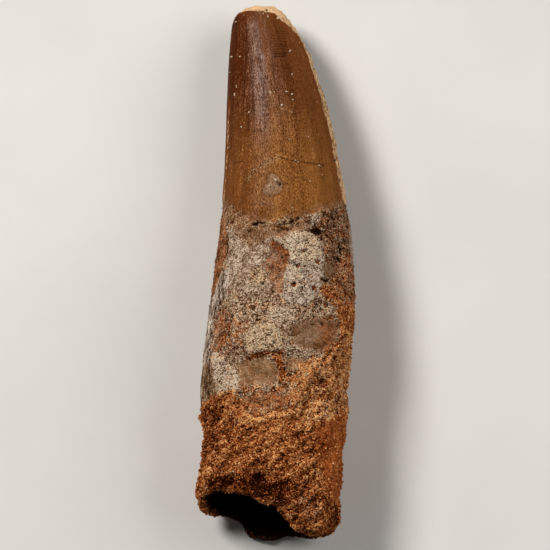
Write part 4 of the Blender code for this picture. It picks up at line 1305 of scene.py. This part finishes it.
# %% Tooth: put the layers together
enamel_mask = use_group(tree, ragged_edge, Distance=stored(tree, "enamel"), Place=place, Raggedness=1.3,
                        Softness=1.1)["Mask"]
dentine_mask = use_group(tree, ragged_edge, Distance=stored(tree, "dentine"), Place=place, Raggedness=0.22,
                         Softness=0.13)["Mask"]
crown_colour = blend(tree, dentine_mask, enamel_colour, dentine_colour)
worn_dentine = times(tree, dentine_mask, ramp_between(tree, stored(tree, "enamel"), -2.5, 0.0))
crown_mask = sum_of(tree, "MAXIMUM", enamel_mask, worn_dentine)
colour = blend(tree, crown_mask, root["Color"], crown_colour)
pit_shade = times(tree, ramp_between(tree, stored(tree, "pits"), 0.25, 0.95), 0.92)
colour = blend(tree, pit_shade, colour, paint(24, 13, 6))
# Painted shade: faces inside the hollow, away from the outside, are painted dark brown.
colour = blend(tree, ramp_between(tree, stored(tree, "outer"), 0.6, 0.1), colour, paint(30, 18, 10))
height = mixed(tree, crown_mask, root["Height"], times(tree, enamel_height, 0.4))
height = mixed(tree, dentine_mask, height, add(tree, flecks, mottle))
roughness = mixed(tree, crown_mask, sum_of(tree, "SUBTRACT", 0.85, times(tree, stored(tree, "bare"), 0.3)),
                  ramp_between(tree, streak["Streak"], -0.2, 0.2, 0.42, 0.58))
roughness = mixed(tree, dentine_mask, roughness, 0.7)
off_middle = sum_of(tree, "ABSOLUTE", sum_of(tree, "SUBTRACT", leftward, 0.20))
polish = ramp_between(tree, off_middle, 0.55, 0.22, 0.0, 0.62)
high_enough = ramp_between(tree, crown_up, 0.25, 0.62, 0.12, 1.0)
broken = ramp_between(tree, add(tree, (flecks, 0.9), (streak["Streak"], 1.6)), -0.25, 0.25, 0.15, 1.7)
on_enamel_only = times(tree, enamel_mask, rest_of(tree, dentine_mask), rest_of(tree, scab_mask))
plug(tree, shader.inputs["Coat Weight"], times(tree, polish, high_enough, broken, on_enamel_only))
shader.inputs["Coat Roughness"].default_value = 0.42
finish_material(tree, shader, colour, height, 0.30, roughness, strength=0.6)
tooth.data.materials.append(tooth_material)
print("weathered tooth:", len(tree.nodes), "nodes")

# %% [markdown]
# ## The sandstone's material
#
# Iron has stained the sand. It is the same ground as the root's, only with all its rust, and made of grains
# where the root has threads. Inside the open end, painted shade makes it nearly black.

# %% Sandstone
stone_material, tree, shader, place = new_material("rusty_sandstone", roughness=0.95, specular=0.03)
bed = put_ground(tree, place, contrast=1.1, grain_size=0.45, threads=0.1)
# Painted shade: the stored shade paints the inside of the open end nearly black.
colour = blend(tree, ramp_between(tree, stored(tree, "shade"), 0.05, 0.7), bed["Color"], paint(22, 12, 6))
finish_material(tree, shader, colour, bed["Height"], 0.35, strength=0.9)
stone.data.materials.append(stone_material)
print("rusty sandstone:", len(tree.nodes), "nodes")


# %% [markdown]
# ## The grains' materials
#
# A grain takes its colour from its own numbers, along the same two scales. Sand and lime are equally dull.

# %% Grains
def grain_material(name, roughness, specular):
    material, tree, shader, place = new_material(name, roughness=roughness, specular=specular)
    speckle = fine_noise(tree, place, 4.0, 2.0)
    light = add(tree, stored(tree, "light"), (speckle, 0.5))
    rust = ramp_between(tree, stored(tree, "rust"), 0.3, 0.7)
    ground = use_group(tree, ground_colours, Light=light, Rust=rust, Warm=stored(tree, "warm"))
    finish_material(tree, shader, ground["Color"], speckle, 0.08)
    print(name, len(tree.nodes), "nodes")
    return material


grain_of_sand = grain_material("sand_grain", roughness=0.85, specular=0.05)
grain_of_lime = grain_material("lime_grain", roughness=0.85, specular=0.05)
for piece, material in ((sand, grain_of_sand), (root_sand, grain_of_sand), (crumbs, grain_of_lime),
                        (specks_piece, grain_of_lime)):
    piece.data.materials.append(material)

# %% [markdown]
# ## A flat map for each piece
#
# A baker that turns these materials into pictures needs every face to have its own place on a flat map. For a
# tooth the natural map is a label peeled off a jar: angle across, station up. The inside of the hollow gets a
# strip of its own beside it. Grains get a chessboard, one square each.

# %% Peel the skins
MAP_NAME = "OFBake"
OUTER_WIDTH, INNER_START = 0.78, 0.80


def corner_numbers(mesh):
    """For each face corner its vertex and its face."""
    vertex = np.empty(len(mesh.loops), np.int32)
    mesh.loops.foreach_get("vertex_index", vertex)
    first = np.empty(len(mesh.polygons), np.int32)
    mesh.polygons.foreach_get("loop_start", first)
    face = np.repeat(np.arange(len(first)), np.diff(np.append(first, len(mesh.loops))))
    return vertex, face, first


def peel(skin, slope):
    """Lays a skin out by angle and station. slope gives faces that look along the tooth some width too."""
    mesh = skin.piece.data
    vertex, face, first = corner_numbers(mesh)
    turn = (skin.angle + 90.0) / 360.0 % 1.0
    along = skin.station + slope * skin.radius
    inner_along = skin.station - 0.7 * skin.radius
    corner_turn = turn[vertex]
    low = np.minimum.reduceat(corner_turn, first)[face]
    high = np.maximum.reduceat(corner_turn, first)[face]
    corner_turn = np.where((high - low > 0.5) & (corner_turn > 0.5), corner_turn - 1.0, corner_turn)
    corners = np.diff(np.append(first, len(vertex)))
    outer = (np.add.reduceat(skin.outside[vertex], first) / corners)[face] > 0.5
    corner_turn = np.clip(corner_turn, 0.0, 1.0)

    def spread(values, chosen):
        return (values - values[chosen].min()) / (values[chosen].max() - values[chosen].min())

    right = np.where(outer, OUTER_WIDTH * corner_turn, INNER_START + (1.0 - INNER_START) * corner_turn)
    up = np.where(outer, spread(along[vertex], outer), spread(inner_along[vertex], ~outer))
    layer = mesh.uv_layers.new(name=MAP_NAME)
    layer.uv.foreach_set("vector", np.stack([right, up], axis=1).astype(np.float32).ravel())


def chessboard(piece):
    """One square of the map for each grain."""
    mesh = piece.data
    vertex, face, first = corner_numbers(mesh)
    per_grain = len(grain_shape()[0])
    grains = len(mesh.vertices) // per_grain
    side = math.ceil(math.sqrt(grains))
    points = numbers(mesh.vertices, "co", 3).reshape(grains, per_grain, 3)
    points = points - points.mean(axis=1, keepdims=True)
    points = 0.42 * points / np.abs(points).max(axis=(1, 2), keepdims=True)
    grain = vertex // per_grain
    flat = points.reshape(-1, 3)[vertex, :2] + 0.5
    square = np.stack([grain % side, grain // side], axis=1)
    layer = mesh.uv_layers.new(name=MAP_NAME)
    layer.uv.foreach_set("vector", ((square + flat) / side).astype(np.float32).ravel())


peel(tooth_skin, slope=-0.5)
peel(stone_skin, slope=0.7)
for piece in (sand, root_sand, crumbs, specks_piece):
    chessboard(piece)
print("maps made for 6 pieces")

# %% [markdown]
# ## Put the pieces on one body, and hide the measured ones
#
# The fine skins replace the measured pieces in the picture. The grains ride along with them. Nothing here
# moves, so every piece rides on the one body.

# %% Ride, and hide the measured pieces that the skins replace
for piece, node in ((tooth, "tooth"), (stone, "sandstone_matrix")):
    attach(piece, "root")
    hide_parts(node)
for piece, finish in ((sand, "sandstone_matrix"), (root_sand, "sandstone_matrix"), (crumbs, "tooth"),
                      (specks_piece, "tooth")):
    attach(piece, "root")

# %% [markdown]
# ## Floor and light
#
# A plain pale floor, and soft light. The main light is a panel up on the left, towards the tip: it gives the
# crown its long highlight and leaves the open end in shade. A larger, weaker panel fills from the right.

# %% The floor
bpy.ops.mesh.primitive_plane_add(size=3.0, location=(0.0, 0.0, 0.0))
floor = bpy.context.object
floor.name = "floor"
floor_material, tree, shader, place = new_material("pale_floor", roughness=0.85, specular=0.2)
paper = fine_noise(tree, place, 0.02, 3.0)
floor_colour = blend(tree, ramp_between(tree, paper, -0.2, 0.2), paint(216, 214, 210), paint(222, 220, 216))
finish_material(tree, shader, floor_colour, fine_noise(tree, place, 1.5, 2.0), 0.02)
floor.data.materials.append(floor_material)

# %% The lights
def panel(name, power, width, height, place_mm, colour, aim_mm=(0.0, 0.0, 10.0)):
    """A soft rectangular light that looks at the tooth."""
    light = bpy.data.lights.new(name, "AREA")
    light.shape = "RECTANGLE"
    light.size, light.size_y = width * MM, height * MM
    light.energy = power
    light.color = colour
    lamp = bpy.data.objects.new(name, light)
    bpy.context.scene.collection.objects.link(lamp)
    lamp.location = np.array(place_mm) * MM
    towards = (np.array(aim_mm) - np.array(place_mm)) * MM
    lamp.rotation_euler = Vector(towards).to_track_quat("-Z", "Y").to_euler()
    return lamp


WARM_WHITE = (1.0, 0.98, 0.945)
panel("main_light", 11.6, 330, 330, (-600, 420, 830), WARM_WHITE)
panel("fill_light", 6.2, 800, 800, (760, 260, 680), WARM_WHITE)
world = bpy.data.worlds.new("soft_room")
bpy.context.scene.world = world
world.use_nodes = True
world.node_tree.nodes["Background"].inputs["Color"].default_value = (1.0, 0.98, 0.95, 1.0)
world.node_tree.nodes["Background"].inputs["Strength"].default_value = 0.06
bpy.context.scene.view_settings.view_transform = "Standard"
